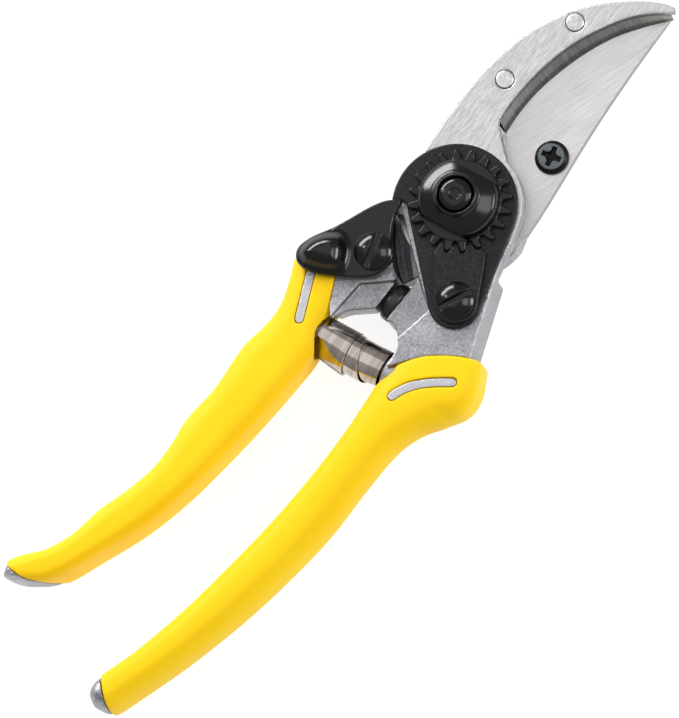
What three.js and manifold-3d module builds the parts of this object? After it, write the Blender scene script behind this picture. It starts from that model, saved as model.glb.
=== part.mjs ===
// Bypass pruner: two forged handles crossing at one pivot, a cutting blade that passes a hooked anvil
// blade, a volute spring between the handles and a thumb catch. Units are millimetres.
// The origin is on the pivot axis at the back face of the bolt head; +Z runs along the pivot to the nut,
// +X to the blade tip and +Y to the side of the blade handle and the hook.
import * as THREE from "three";
import { mergeVertices } from "three/addons/utils/BufferGeometryUtils.js";
import Module from "manifold-3d";

const wasm = await Module();
wasm.setup();

// ---------------------------------------------------------------- driving dimensions

// Heights of the stacked layers on the pivot.
const HEAD_TOP = 2.0;
const LOWER_BOTTOM = 2.5; // the friction washer fills 2.0 to 2.5
const LOWER_TOP = 7.9; // blade handle's hub
const BLADE_TOP = 10.4; // cutting blade
const ANVIL_BOTTOM = 10.45; // shear gap of 0.05
const ANVIL_BLADE_TOP = 13.0;
const FRAME_TOP = 15.3; // anvil handle's hub and hook
const PLATE_TOP = 16.5; // cover plate
const FLANGE_TOP = 18.0; // toothed flange and lock segment
const NUT_TOP = 24.2;
const BOLT_TOP = 25.0;

// Pivot.
const BOLT_R = 4.0;
const HEAD_R = 8.5;
const BUSH_R = 6.0;
const BUSH_LENGTH_GAP = 0.05;
const HUB_R = 16; // blade handle's hub
const FORE_ARM_BOTTOM = 5.0; // thin arm of the blade handle that carries the blade's screw
const SHOULDER_R = 17.2; // concave shoulders that clear the hubs
const RUN_GAP = 0.08; // radial clearance of a turning fit
const FIT_GAP = 0.3; // gap between pieces cut to each other

// Toothed nut and lock segment.
const TEETH = 20;
const TOOTH_TIP_R = 12.6;
const TOOTH_ROOT_R = 10.1;
const TOOTH_PHASE = -97; // degrees, centre of one tooth
const DOME_R = 9.8;
const RING_R = 5.1;
const NUT_FLATS = [{ heading: -165.8, distance: 7.6 }, { heading: 14.2, distance: 7.2 }]; // on the dome

// Screws: places on the plan, head and shank radii.
const SEGMENT_SCREW = [-18.3, -16.2];
const CATCH_PIVOT = [-22.7, 6.7];
const BLADE_SCREW = [22.8, -7.5];
const RIVETS = [[28.9, 13.0], [50.2, 9.9]];
const SCREW_HEAD_R = 4.6;
const SCREW_SHANK_R = 2.4;
const BLADE_SCREW_HEAD_R = 4.1;
const RIVET_R = 2.2;
const SLOT_WIDTH = 1.5;
const SLOT_DEPTH = 1.7;

// Handles: height of the middle, half thickness, skin of the grip, rib that shows in the grip's slot.
const HANDLE_Z = 8.9;
const HANDLE_HALF = 7.5;
const GRIP_SKIN = 2.6;
const EDGE_INSET = 0.3;
const CORE_SIDES = 10;
const TIP_START = 1.5; // the core begins this far from the end
const TIP_INSET = 0.5; // the bare end lies this far below the grip's surface
const BLADE_END_LEAN = 0.3; // how far its end line leans forward per millimetre of depth
const RIB_WIDTH = 2.1;
const RIB_TOP = 16.1;

// Blade handle's boss under the catch and the lower step beside it.
const BOSS_TOP = 15.6;
const STEP_TOP = 14.1;
const CATCH_BOTTOM = 16.6;
const CATCH_TOP = 18.6;
const KNOB_TOP = 22.4;

// Rubber bumper and the spring between the handles.
const BUMPER_R = 4.9;
const BUMPER_LENGTH = 3.6;
const BUMPER_FACE = [-27.85, -1.56]; // centre of its free face, just clear of the stop
const BUMPER_TILT = 5; // degrees from +Y
const SPRING_ENDS = [[-40.9, -12.7], [-45.3, 4.5]]; // anvil side, blade side
const SPRING_R = 5.1;
const SPRING_STRIP = { width: 8.6, thick: 0.22, stepIn: 0.28, turns: 3.5, stepsPerTurn: 24 };
const SPRING_SWELL = { rise: 0.62, peak: 1.5, reach: 9 }; // the coil swells away from the pivot
// Where the strip's edge on the anvil side lies along the coil, by turns from the middle.
const STRIP_EDGE = [[-1.75, -0.1], [-0.75, -0.1], [-0.25, 1.0], [0.25, 4.9], [0.75, 8.75],
  [1.75, 8.75]];
const SEAT_R = 3.9;
const SEAT_DEPTH = 4;
const PEG_R = 2.3;
const PEG_LENGTH = 2.6;

// Outer and inner edges of the handles on the plan, from the end to the front, and how square the
// section is on each side.
const BLADE_HANDLE = {
  powers: { outer: 2.6, inner: 4.2 },
  outer: [[-139.4, 21.2], [-136.2, 22.7], [-132, 21.2], [-127, 17.9], [-120, 15.7], [-112, 15.1],
    [-104, 13.4], [-96, 12.4], [-89, 13.1], [-82, 14.6], [-72, 14.8], [-60, 16.7], [-52, 16.3],
    [-46, 17.2], [-40, 20.1], [-36, 22.3], [-30, 23.5], [-24, 24]],
  inner: [[-139.4, 20.6], [-138.2, 17.6], [-136, 14.6], [-131, 10.2], [-120, 6.5], [-108, 3.0],
    [-95, 1.1], [-80, 0.4], [-68, 0.4], [-58, 0.8], [-50, 1.6], [-45, 4.0], [-40, 5.0], [-24, 5.5]],
};
const ANVIL_HANDLE = {
  powers: { outer: 2.4, inner: 2.8 },
  outer: [[-146.9, -17.8], [-145.4, -21.2], [-140, -23.2], [-130, -25.7], [-120, -27.7],
    [-105, -29.8], [-90, -30.8], [-78, -30.8], [-66, -29.6], [-54, -29.0], [-47, -30.5],
    [-41, -33.7], [-36, -35.5], [-31, -34.6], [-24, -30]],
  inner: [[-146.9, -17.0], [-145.6, -14.3], [-142.8, -13.1], [-139, -13.5], [-130, -15.4],
    [-115, -17.2], [-100, -17.9], [-85, -18.1], [-70, -17.4], [-58, -16.1], [-50, -14.7],
    [-43, -13.4], [-36, -12.5], [-24, -12]],
};

// ---------------------------------------------------------------- outlines

const rad = THREE.MathUtils.degToRad;

function arc(cx, cy, r, from, to, step = 5) {
  const count = Math.max(1, Math.ceil(Math.abs(to - from) / step));
  return Array.from({ length: count + 1 }, (_, i) => {
    const a = rad(from + ((to - from) * i) / count);
    return [cx + r * Math.cos(a), cy + r * Math.sin(a)];
  });
}

// A smooth curve through the points, with `steps` chords between neighbours.
function smooth(points, steps = 3) {
  const curve = new THREE.SplineCurve(points.map(([x, y]) => new THREE.Vector2(x, y)));
  return curve.getPoints(steps * (points.length - 1)).map((p) => [p.x, p.y]);
}

// Runs of points joined end to end, without doubled points.
function outline(...runs) {
  const far = (a, b) => Math.hypot(a[0] - b[0], a[1] - b[1]) > 0.02;
  const points = runs.flat().filter((p, i, all) => i === 0 || far(p, all[i - 1]));
  return far(points[0], points[points.length - 1]) ? points : points.slice(0, -1);
}

const moved = (points, dx, dy) => points.map(([x, y]) => [x + dx, y + dy]);

// Points scaled towards a centre.
const shrunk = (points, [cx, cy], k) => points.map(([x, y]) => [cx + (x - cx) * k, cy + (y - cy) * k]);

// The edge of a handle as a function of x: cubic between the given points.
function edge(points) {
  const slope = points.map((p, i) => {
    const a = points[Math.max(i - 1, 0)];
    const b = points[Math.min(i + 1, points.length - 1)];
    return (b[1] - a[1]) / (b[0] - a[0]);
  });
  return (x) => {
    let i = points.findIndex((p) => p[0] > x) - 1;
    if (i < 0) i = points[0][0] > x ? 0 : points.length - 2;
    const [x0, y0] = points[i];
    const [x1, y1] = points[i + 1];
    const w = x1 - x0;
    const t = THREE.MathUtils.clamp((x - x0) / w, 0, 1);
    const h00 = (1 + 2 * t) * (1 - t) ** 2;
    const h10 = t * (1 - t) ** 2;
    const h01 = t * t * (3 - 2 * t);
    const h11 = t * t * (t - 1);
    return h00 * y0 + h10 * w * slope[i] + h01 * y1 + h11 * w * slope[i + 1];
  };
}

// ---------------------------------------------------------------- solids

function solid(geometry) {
  geometry.deleteAttribute("normal");
  geometry.deleteAttribute("uv");
  const merged = mergeVertices(geometry, 1e-4);
  return new wasm.Manifold(new wasm.Mesh({
    numProp: 3,
    vertProperties: new Float32Array(merged.attributes.position.array),
    triVerts: new Uint32Array(merged.index.array),
  }));
}

function slab(points, bottom, top) {
  const shape = new THREE.Shape(points.map(([x, y]) => new THREE.Vector2(x, y)));
  const geometry = new THREE.ExtrudeGeometry(shape, { depth: top - bottom, bevelEnabled: false });
  return solid(geometry.translate(0, 0, bottom));
}

// A solid through outlines with the same number of points, each at its own height.
function stack(layers) {
  const flat = layers[0].points.map(([x, y]) => new THREE.Vector2(x, y));
  const reversed = THREE.ShapeUtils.isClockWise(flat);
  const rings = layers.map(({ z, points }) => {
    const ring = points.map(([x, y]) => new THREE.Vector3(x, y, z));
    return reversed ? ring.reverse() : ring;
  });
  return ringSolid(rings, (ring) => ring.map((p) => new THREE.Vector2(p.x, p.y)));
}

// Rings of points joined by quads and capped at both ends; `flatten` gives a ring's plane coordinates.
function ringSolid(rings, flatten) {
  const n = rings[0].length;
  const index = [];
  for (let k = 0; k + 1 < rings.length; k++) {
    for (let i = 0; i < n; i++) {
      const a = k * n + i;
      const b = k * n + ((i + 1) % n);
      index.push(a, b, b + n, a, b + n, a + n);
    }
  }
  const last = (rings.length - 1) * n;
  for (const [a, b, c] of THREE.ShapeUtils.triangulateShape(flatten(rings[0]), [])) {
    index.push(a, c, b);
  }
  for (const [a, b, c] of THREE.ShapeUtils.triangulateShape(flatten(rings[rings.length - 1]), [])) {
    index.push(last + a, last + b, last + c);
  }
  const geometry = new THREE.BufferGeometry().setFromPoints(rings.flat());
  geometry.setIndex(index);
  return solid(geometry);
}

function disc(r, bottom, top, [x, y] = [0, 0], segments = 32) {
  const geometry = new THREE.CylinderGeometry(r, r, top - bottom, segments);
  return solid(geometry.rotateX(Math.PI / 2).translate(x, y, (top + bottom) / 2));
}

// A turned piece: [radius, height] pairs around a vertical axis, starting and ending on the axis.
function turned(profile, [x, y] = [0, 0], segments = 48) {
  const geometry = new THREE.LatheGeometry(profile.map(([r, z]) => new THREE.Vector2(r, z)), segments);
  return solid(geometry.rotateX(Math.PI / 2).translate(x, y, 0));
}

// A turned piece laid in the plan: its axis runs from `start` in the given direction, at the
// handle's middle height.
function turnedAlong(profile, start, direction, segments = 32) {
  const geometry = new THREE.LatheGeometry(profile.map(([r, z]) => new THREE.Vector2(r, z)), segments);
  const axis = new THREE.Vector3(direction[0], direction[1], 0).normalize();
  const turn = new THREE.Quaternion().setFromUnitVectors(new THREE.Vector3(0, 1, 0), axis);
  return solid(geometry.applyQuaternion(turn).translate(start[0], start[1], HANDLE_Z));
}

const rod = (r, length) => [[0, 0], [r, 0], [r, length], [0, length]];

// Half a superellipse on each side of the handle's middle line, swept along x.
function handleBar(edges, stations, inset, sides = 16) {
  const outerEdge = edge(edges.outer);
  const innerEdge = edge(edges.inner);
  const tipX = edges.outer[0][0];
  const rings = stations.filter((x) => x > tipX + Math.min(inset, TIP_START)).map((x) => {
    const a = outerEdge(x);
    const b = innerEdge(x);
    const middle = (a + b) / 2;
    const half = Math.max(Math.abs(a - b) / 2 - EDGE_INSET - inset, 0.4);
    const tip = Math.min(1, Math.sqrt(Math.max(x - tipX, 0.3) / 5));
    const tall = HANDLE_HALF * tip - inset;
    return Array.from({ length: sides }, (_, i) => {
      const t = (2 * Math.PI * i) / sides;
      const power = Math.cos(t) * (a - b) > 0 ? edges.powers.outer : edges.powers.inner;
      const bulge = (v) => Math.sign(v) * Math.abs(v) ** (2 / power);
      const y = middle + half * bulge(Math.cos(t));
      return new THREE.Vector3(x, y, HANDLE_Z + tall * bulge(Math.sin(t)));
    });
  });
  return ringSolid(rings, (ring) => ring.map((p) => new THREE.Vector2(p.y, p.z)));
}

const root = new THREE.Group();

function addPiece(name, body, { color, roughness, metalness }) {
  const { vertProperties, triVerts } = body.getMesh();
  const geometry = new THREE.BufferGeometry();
  geometry.setAttribute("position", new THREE.BufferAttribute(new Float32Array(vertProperties), 3));
  geometry.setIndex(new THREE.BufferAttribute(new Uint32Array(triVerts), 1));
  geometry.computeVertexNormals();
  const mesh = new THREE.Mesh(geometry, new THREE.MeshStandardMaterial({ color, roughness, metalness }));
  mesh.name = name;
  root.add(mesh);
}

const FORGED = { color: 0xb4b6b8, roughness: 0.42, metalness: 0.9 };
const GROUND_STEEL = { color: 0xa9aaa6, roughness: 0.35, metalness: 1.0 };
const BLACKENED = { color: 0x26272a, roughness: 0.45, metalness: 0.6 };
const BRIGHT_STEEL = { color: 0xc4c4c2, roughness: 0.3, metalness: 1.0 };
const CHROME = { color: 0xd2cfc9, roughness: 0.12, metalness: 1.0 };
const YELLOW_PVC = { color: 0xf7cd18, roughness: 0.5, metalness: 0.0 };
const RUBBER = { color: 0x1b1b1c, roughness: 0.8, metalness: 0.0 };

// ---------------------------------------------------------------- shared outlines

// The hook: a convex back and a concave mouth. The mouth's top edge is the frame's, its lower
// edge the anvil blade's.
const HOOK_BACK = smooth([[3, 15.5], [10, 16.6], [19, 17.7], [28, 18.2], [37, 17.4], [44, 15.7],
  [50, 13.3], [55.5, 10.1], [60.5, 5.7], [64.8, 1.0], [67.6, -3.2], [68.5, -5.8]]);
const MOUTH_TOP = smooth([[66.6, -5.6], [64.5, -3.1], [60, 0.7], [54, 3.8], [47, 6.4], [40, 7.8],
  [32, 8.3], [25, 7.9], [20.8, 7.1]]);
const MOUTH_SHEAR = smooth([[66.6, -6.3], [64.5, -4.7], [60, -1.7], [54, 1.6], [47, 4.0], [40, 5.5],
  [32, 6.3], [25, 5.9], [20.3, 5.05]]);

// The front end of each grip, seen on the plan.
const BLADE_GRIP_FRONT = smooth([[-43.5, 1.5], [-41.3, 4.0], [-38.5, 6.9], [-32.8, 10.5],
  [-31.3, 13.5], [-31.8, 18], [-33, 26]]);
const ANVIL_GRIP_FRONT = smooth([[-43.5, -11], [-40, -14.3], [-34, -18.3], [-31, -21], [-28.3, -24.2],
  [-26.2, -27.3], [-23.6, -32]]);

// The ribs of the frames that lie flush in the grips' slots.
const BLADE_RIB = smooth([[-46.3, 9.5], [-36, 15.4], [-31, 18.3]]);
const ANVIL_RIB = smooth([[-45, -20.1], [-42, -21], [-39, -22.7], [-36, -25.3], [-33, -28.6]]);

// A band of constant width along a path, with round ends.
function band(path, width) {
  const curve = new THREE.SplineCurve(path.map(([x, y]) => new THREE.Vector2(x, y)));
  const samples = 12;
  const left = [];
  const right = [];
  for (let i = 0; i <= samples; i++) {
    const p = curve.getPoint(i / samples);
    const t = curve.getTangent(i / samples);
    left.push([p.x - (t.y * width) / 2, p.y + (t.x * width) / 2]);
    right.unshift([p.x + (t.y * width) / 2, p.y - (t.x * width) / 2]);
  }
  const headingAt = (t) => THREE.MathUtils.radToDeg(Math.atan2(t.y, t.x));
  const end = headingAt(curve.getTangent(1));
  const start = headingAt(curve.getTangent(0));
  const round = (p, heading) => arc(p[0], p[1], width / 2, heading + 90, heading - 90, 30);
  return outline(left, round(path[path.length - 1], end), right, round(path[0], start + 180));
}

// Everything ahead of a grip's front, as a tall slab; `clear` moves the front back along x.
const ahead = (front, farY, clear) => {
  const line = moved(front, -clear, 0);
  const endY = line[line.length - 1][1];
  return slab(outline(line, [[30, endY], [30, farY], [line[0][0], farY]]), -5, 30);
};

// The bare end of each handle, past the grip.
const bladeEnd = (clear) => slab(outline(moved(smooth([[-137.2, 26], [-136.8, 20.6], [-136.2, 16],
  [-135.2, 13.4], [-132.6, 8]]), clear, clear), [[-150, 8], [-150, 26]]), -5, 30)
  .warp((v) => { v[0] += (HANDLE_Z + HANDLE_HALF - v[2]) * BLADE_END_LEAN; });
const anvilEnd = (clear) => slab(outline(moved(smooth([[-138.6, -11], [-140.2, -14.2], [-142.4, -17.4],
  [-144.6, -20.6], [-146.2, -24]]), clear, -clear), [[-155, -24], [-155, -11]]), -5, 30);

const BLADE_STATIONS = [-139.35, -138.4, -136.4, -133.5, -129.5, -124, -116, -107, -99, -91, -82, -72,
  -60, -51, -45.5, -40, -36, -31, -26];
const ANVIL_STATIONS = [-146.85, -146, -144.6, -142.3, -138.5, -130, -118, -104, -91, -78, -66, -55,
  -48.5, -43.5, -39, -35.5, -32, -28, -24];

const [SPRING_ANVIL_END, SPRING_BLADE_END] = SPRING_ENDS;
const springVector = SPRING_BLADE_END.map((v, i) => v - SPRING_ANVIL_END[i]);
const springLength = Math.hypot(...springVector);
const springAxis = springVector.map((v) => v / springLength);
const awayFromPivot = [-springAxis[1], springAxis[0]];

// How much larger the coil is at a place, `along` towards the anvil side from the middle.
function swell(along) {
  const { rise, peak, reach } = SPRING_SWELL;
  return rise * Math.max(1 - ((along - peak) / reach) ** 2, 0);
}

// Where a seat's axis starts, `depth` behind the spring's end.
const seatStart = (end, towardsSpring, depth) =>
  end.map((v, i) => v - springAxis[i] * towardsSpring * depth);

// A spring seat: a round boss out of the handle with a peg that enters the spring.
function springSeat(end, towardsSpring) {
  const boss = SEAT_DEPTH - 0.1;
  const profile = [[0, 0], [SEAT_R, 0], [SEAT_R, boss], [PEG_R, boss],
    [PEG_R, boss + PEG_LENGTH], [0, boss + PEG_LENGTH]];
  return turnedAlong(profile, seatStart(end, towardsSpring, SEAT_DEPTH),
    springAxis.map((v) => v * towardsSpring));
}

// The round opening that a grip or a frame leaves for the seat and the spring's end.
function springWell(end, towardsSpring, depth = SEAT_DEPTH + 0.5) {
  return turnedAlong(rod(SPRING_R + 0.6, depth + 3), seatStart(end, towardsSpring, depth),
    springAxis.map((v) => v * towardsSpring));
}

// ---------------------------------------------------------------- blade handle and its pieces

const bore = (place, r, segments = 32) => disc(r, -2, 30, place, segments);

function bladeHandleFrame() {
  const hub = slab(outline(
    arc(0, 0, HUB_R, 196, 276),
    [[5, -14.6]],
    arc(0, 0, 14.6, -60, 20),
    arc(0, 0, HUB_R, 20, 126),
    [[-19, 14.4], [-29, 17], [-30, 6], [-32.3, -1.85], [-23.2, -1.05]],
  ), LOWER_BOTTOM, LOWER_TOP);
  const foreArm = slab(outline(
    [[0, -15.2], [6, -14.4], [12, -12.9], [18, -11.8]],
    arc(BLADE_SCREW[0], BLADE_SCREW[1], 3.6, -100, 70),
    [[17, 0.5], [13, 5], [0, 5]],
  ), FORE_ARM_BOTTOM, LOWER_TOP);
  const neckPlan = outline(
    smooth([[-12.0, 12.3], [-15.3, 9.2], [-18.5, 6], [-21.8, 1.8], [-23.2, -1.05]]),
    [[-32.3, -1.85]],
    smooth([[-32.3, -1.85], [-34.8, 0.6], [-37.4, 2.9], [-41.5, 4.6]]),
    [[-44, 6], [-44, 15]],
    smooth([[-38, 18.5], [-33, 19.0], [-26, 17], [-19, 14.9], [-13.5, 13.2], [-12.0, 12.3]]),
  );
  const neck = slab(neckPlan, LOWER_BOTTOM, BOSS_TOP).intersect(ahead(BLADE_GRIP_FRONT, -8, 0));
  const undercut = slab([[-46, -4], [-30.8, -4], [-30.8, 0], [-33.4, 2.6], [-36.6, 4.9], [-41, 7.0],
    [-46, 7.0]], -5, 8.4);
  const step = slab([[-44, 4.4], [-30.3, 4.75], [-24.4, -1.0], [-24.4, -4], [-44, -4]], STEP_TOP, 30);
  const core = handleBar(BLADE_HANDLE, BLADE_STATIONS, GRIP_SKIN, CORE_SIDES);
  const rib = slab(band(BLADE_RIB, RIB_WIDTH), HANDLE_Z, RIB_TOP)
    .subtract(slab([[-33, 0], [-20, 0], [-20, 40], [-33, 40]], BOSS_TOP, 30));
  const end = handleBar(BLADE_HANDLE, BLADE_STATIONS, TIP_INSET).intersect(bladeEnd(0));
  // The core stops where the neck begins, so that it doesn't stand above the lower step.
  const coreInside = core.subtract(slab([[-30, -10], [0, -10], [0, 40], [-30, 40]], -5, 30));
  return hub.add(foreArm).add(neck).subtract(step).subtract(undercut)
    .add(coreInside).add(rib).add(end)
    .subtract(springWell(SPRING_BLADE_END, -1, FIT_GAP))
    .add(springSeat(SPRING_BLADE_END, -1))
    .subtract(bore([0, 0], BUSH_R + RUN_GAP, 48))
    .subtract(bore(BLADE_SCREW, SCREW_SHANK_R - 0.4 + FIT_GAP))
    .subtract(disc(SCREW_SHANK_R + FIT_GAP, 5.5, 30, CATCH_PIVOT));
}

function bladeHandleGrip() {
  return handleBar(BLADE_HANDLE, BLADE_STATIONS, 0)
    .subtract(ahead(BLADE_GRIP_FRONT, -8, FIT_GAP))
    .subtract(bladeEnd(FIT_GAP))
    .subtract(handleBar(BLADE_HANDLE, BLADE_STATIONS, GRIP_SKIN - FIT_GAP, CORE_SIDES))
    .subtract(slab(band(BLADE_RIB, RIB_WIDTH + 2 * FIT_GAP), HANDLE_Z, 30))
    .subtract(springWell(SPRING_BLADE_END, -1));
}

// The blade: a flat face up at the shear plane and a ground bevel below its convex edge.
function cuttingBlade() {
  const spine = smooth([[5, -15.9], [12, -14.7], [22, -12.6], [32, -10.5], [42, -8.7], [52, -7.2],
    [60, -6.2], [66.4, -5.4]]);
  const edgeLine = [[66.4, -5.4], [64, -3.1], [60, -0.4], [54, 2.8], [46, 5.9], [38, 7.9], [30, 8.8],
    [22.5, 8.4], [17, 6.4]];
  const bevelLine = [[63.6, -5.5], [61, -4.6], [57.5, -2.9], [52, -0.6], [44.5, 2.0], [37, 3.8],
    [29.5, 4.6], [22.5, 4.8], [17, 6.0]];
  const heel = arc(0, 0, 15.7, 26, 284);
  const plan = [...spine, ...smooth(edgeLine).slice(1), ...heel];
  const under = [...spine, ...smooth(bevelLine).slice(1), ...heel];
  return stack([
    { z: LOWER_TOP, points: under },
    { z: BLADE_TOP - 0.5, points: plan },
    { z: BLADE_TOP, points: plan },
  ]).subtract(bore([0, 0], BUSH_R + RUN_GAP, 48))
    .subtract(bore(BLADE_SCREW, SCREW_SHANK_R - 0.4 + FIT_GAP));
}

// ---------------------------------------------------------------- anvil handle and its pieces

const HOOK_ROOT = 20; // the steel anvil blade lies under the hook beyond this x

function anvilHandleFrame() {
  const hookPlan = outline(
    arc(-0.6, 0, 15.3, -66, -4),
    [[16.6, 2.0], [19.9, 6.6]],
    MOUTH_TOP.slice().reverse(),
    [[67.6, -6.6]],
    HOOK_BACK.slice().reverse(),
    arc(-0.6, 0, 15.3, 96, 141),
    [[-11.4, 8.6], [-21.6, -7.9], [-23.9, -12.2], [-25, -27.2], [-8, -18.7]],
  );
  const hub = slab(hookPlan, ANVIL_BOTTOM, FRAME_TOP)
    .subtract(slab([[HOOK_ROOT, -20], [80, -20], [80, 40], [HOOK_ROOT, 40]], 0, ANVIL_BLADE_TOP));
  // The wall behind the steel blade's root leans out to meet the shear edge.
  const rootWall = (corner) => [[12, 1], [16.6, 2.0], corner, [19.9, 9], [12, 9]];
  const root = stack([
    { z: ANVIL_BOTTOM, points: rootWall([19.9, 4.75]) },
    { z: FRAME_TOP, points: rootWall([19.9, 6.6]) },
  ]);
  const neckPlan = outline(
    [[-7.7, -18.7]],
    arc(0, 0, SHOULDER_R, 243, 197),
    [bumperSeat(6.2), bumperSeat(-4.9)],
    smooth([[-32.4, -6.0], [-32.0, -7.5], [-32.9, -9.6], [-34.8, -12.2], [-37, -13.1], [-40.5, -13.7]]),
    [[-44, -15], [-44, -31]],
    smooth([[-38, -33.4], [-34, -33.9], [-30.4, -31.4], [-26, -27.7]]),
  );
  const seatRelief = slab([[-45, -10.5], [-33, -11.2], [-23.9, -12.2], [-21.6, -7.9], [-18.4, -2.8],
    [-45, -2.8]], 13.6, 30);
  const neck = slab(neckPlan, LOWER_BOTTOM, FRAME_TOP)
    .intersect(ahead(ANVIL_GRIP_FRONT, 5, 0))
    .subtract(seatRelief);
  const core = handleBar(ANVIL_HANDLE, ANVIL_STATIONS, GRIP_SKIN, CORE_SIDES)
    .subtract(slab([[-27, -50], [0, -50], [0, 10], [-27, 10]], -5, 30))
    .subtract(slab([[-44, -13.6], [-30, -13.6], [-30, 10], [-44, 10]], -5, 30));
  const rib = slab(band(ANVIL_RIB, RIB_WIDTH), HANDLE_Z, RIB_TOP);
  const end = handleBar(ANVIL_HANDLE, ANVIL_STATIONS, TIP_INSET).intersect(anvilEnd(0));
  const stem = turnedAlong(rod(2.0 + FIT_GAP, 6.6), bumperPoint(0), bumperInward);
  let frame = hub.add(root).add(neck).add(core).add(rib).add(end)
    .subtract(springWell(SPRING_ANVIL_END, 1, FIT_GAP))
    .add(springSeat(SPRING_ANVIL_END, 1))
    .subtract(bore([0, 0], BOLT_R + FIT_GAP, 48))
    .subtract(disc(SCREW_SHANK_R + FIT_GAP, 5.5, 30, SEGMENT_SCREW))
    .subtract(stem);
  for (const rivet of RIVETS) frame = frame.subtract(bore(rivet, RIVET_R + FIT_GAP / 2, 24));
  return frame;
}

function anvilHandleGrip() {
  return handleBar(ANVIL_HANDLE, ANVIL_STATIONS, 0)
    .subtract(ahead(ANVIL_GRIP_FRONT, 5, FIT_GAP))
    .subtract(anvilEnd(FIT_GAP))
    .subtract(handleBar(ANVIL_HANDLE, ANVIL_STATIONS, GRIP_SKIN - FIT_GAP, CORE_SIDES))
    .subtract(slab(band(ANVIL_RIB, RIB_WIDTH + 2 * FIT_GAP), HANDLE_Z, 30))
    .subtract(springWell(SPRING_ANVIL_END, 1));
}

// The hardened anvil blade under the hook, its mouth ground back from the shear edge.
function anvilBlade() {
  const back = HOOK_BACK.filter(([x]) => x > HOOK_ROOT + 1 && x < 67).map(([x, y]) => [x - 0.5, y - 1.2]);
  const tip = [66.9, -5.9];
  const rootSide = [[HOOK_ROOT + FIT_GAP, back[0][1] - 1], [HOOK_ROOT + FIT_GAP, 7.5]];
  const lower = [...MOUTH_SHEAR, ...rootSide.slice().reverse(), ...back, tip];
  const upper = [...MOUTH_TOP, ...rootSide.slice().reverse(), ...back, tip];
  let blade = stack([
    { z: ANVIL_BOTTOM, points: lower },
    { z: ANVIL_BLADE_TOP, points: upper },
  ]);
  for (const rivet of RIVETS) blade = blade.subtract(bore(rivet, RIVET_R + FIT_GAP / 2, 24));
  return blade;
}

const rivet = (place) => turned([[0, ANVIL_BOTTOM], [RIVET_R, ANVIL_BOTTOM], [RIVET_R, FRAME_TOP - 0.1],
  [RIVET_R - 0.2, FRAME_TOP + 0.1], [0, FRAME_TOP + 0.2]], place, 24);

// The cover plate: a disc and a lobe joined by a straight left side, with a notch for the catch's nose.
const COVER_DISC = { x: -1.6, y: 0.4, r: 15.2 };
const COVER_LOBE = { x: -18.6, y: -15.8, r: 6.4 };

function coverPlate() {
  const plan = outline(
    arc(COVER_LOBE.x, COVER_LOBE.y, COVER_LOBE.r, 146, 292),
    arc(COVER_DISC.x, COVER_DISC.y, COVER_DISC.r, -68, 126),
    [[-9.1, 10.9], [-9.0, 9.4]],
  );
  return slab(plan, FRAME_TOP, PLATE_TOP)
    .subtract(bore([0, 0], BOLT_R + FIT_GAP, 48))
    .subtract(bore(SEGMENT_SCREW, SCREW_SHANK_R + FIT_GAP));
}

// Gear outline with rounded teeth; `clear` makes it larger all round.
function toothedOutline(clear) {
  const pitch = 360 / TEETH;
  const middle = (TOOTH_TIP_R + TOOTH_ROOT_R) / 2;
  const swing = (TOOTH_TIP_R - TOOTH_ROOT_R) / 2;
  const perTooth = 6;
  return Array.from({ length: TEETH * perTooth }, (_, i) => {
    const wave = Math.cos((2 * Math.PI * i) / perTooth);
    const r = middle + swing * Math.sign(wave) * Math.abs(wave) ** 0.6 + clear;
    const a = rad(TOOTH_PHASE + (pitch * i) / perTooth);
    return [r * Math.cos(a), r * Math.sin(a)];
  });
}

function pivotNut() {
  const dome = turned([[0, PLATE_TOP], [DOME_R, PLATE_TOP], [DOME_R, 19.2], [DOME_R - 0.5, 20.4],
    [8.2, 21.7], [6.2, 22.6], [5.4, 23.0], [RING_R, NUT_TOP], [0, NUT_TOP]]);
  let body = dome;
  for (const { heading, distance } of NUT_FLATS) {
    const flat = new THREE.BoxGeometry(DOME_R, 3 * DOME_R, NUT_TOP - FLANGE_TOP);
    flat.translate(distance + DOME_R / 2, 0, (NUT_TOP + FLANGE_TOP) / 2 + 0.15);
    body = body.subtract(solid(flat.rotateZ(rad(heading))));
  }
  return slab(toothedOutline(0), PLATE_TOP, FLANGE_TOP).add(body)
    .subtract(bore([0, 0], BOLT_R + FIT_GAP, 48));
}

function lockSegment() {
  const [sx, sy] = SEGMENT_SCREW;
  const plan = outline(
    arc(sx, sy, 5.4, 140, 292),
    [[-8.4, -16.0], [-5.2, -13.6]],
    arc(0, 0, 11.0, 247, 200),
    [[-13.3, -4.1]],
  );
  return slab(plan, PLATE_TOP, FLANGE_TOP)
    .subtract(slab(toothedOutline(FIT_GAP), PLATE_TOP - 1, FLANGE_TOP + 1))
    .subtract(bore(SEGMENT_SCREW, SCREW_SHANK_R + FIT_GAP));
}

// A domed slotted screw: head from `seat` up, shank down to `foot`, slot at `heading` degrees.
function slottedScrew([x, y], seat, foot, heading, headR = SCREW_HEAD_R, rise = 2.5) {
  const body = turned([[0, foot], [SCREW_SHANK_R, foot], [SCREW_SHANK_R, seat], [headR, seat],
    [headR, seat + 0.9], [headR - 0.5, seat + 1.6], [headR - 1.8, seat + rise - 0.2],
    [0, seat + rise]], [x, y], 40);
  const slot = new THREE.BoxGeometry(3 * headR, SLOT_WIDTH, 2 * SLOT_DEPTH);
  slot.rotateZ(rad(heading)).translate(x, y, seat + rise + 0.05);
  return body.subtract(solid(slot));
}

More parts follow.
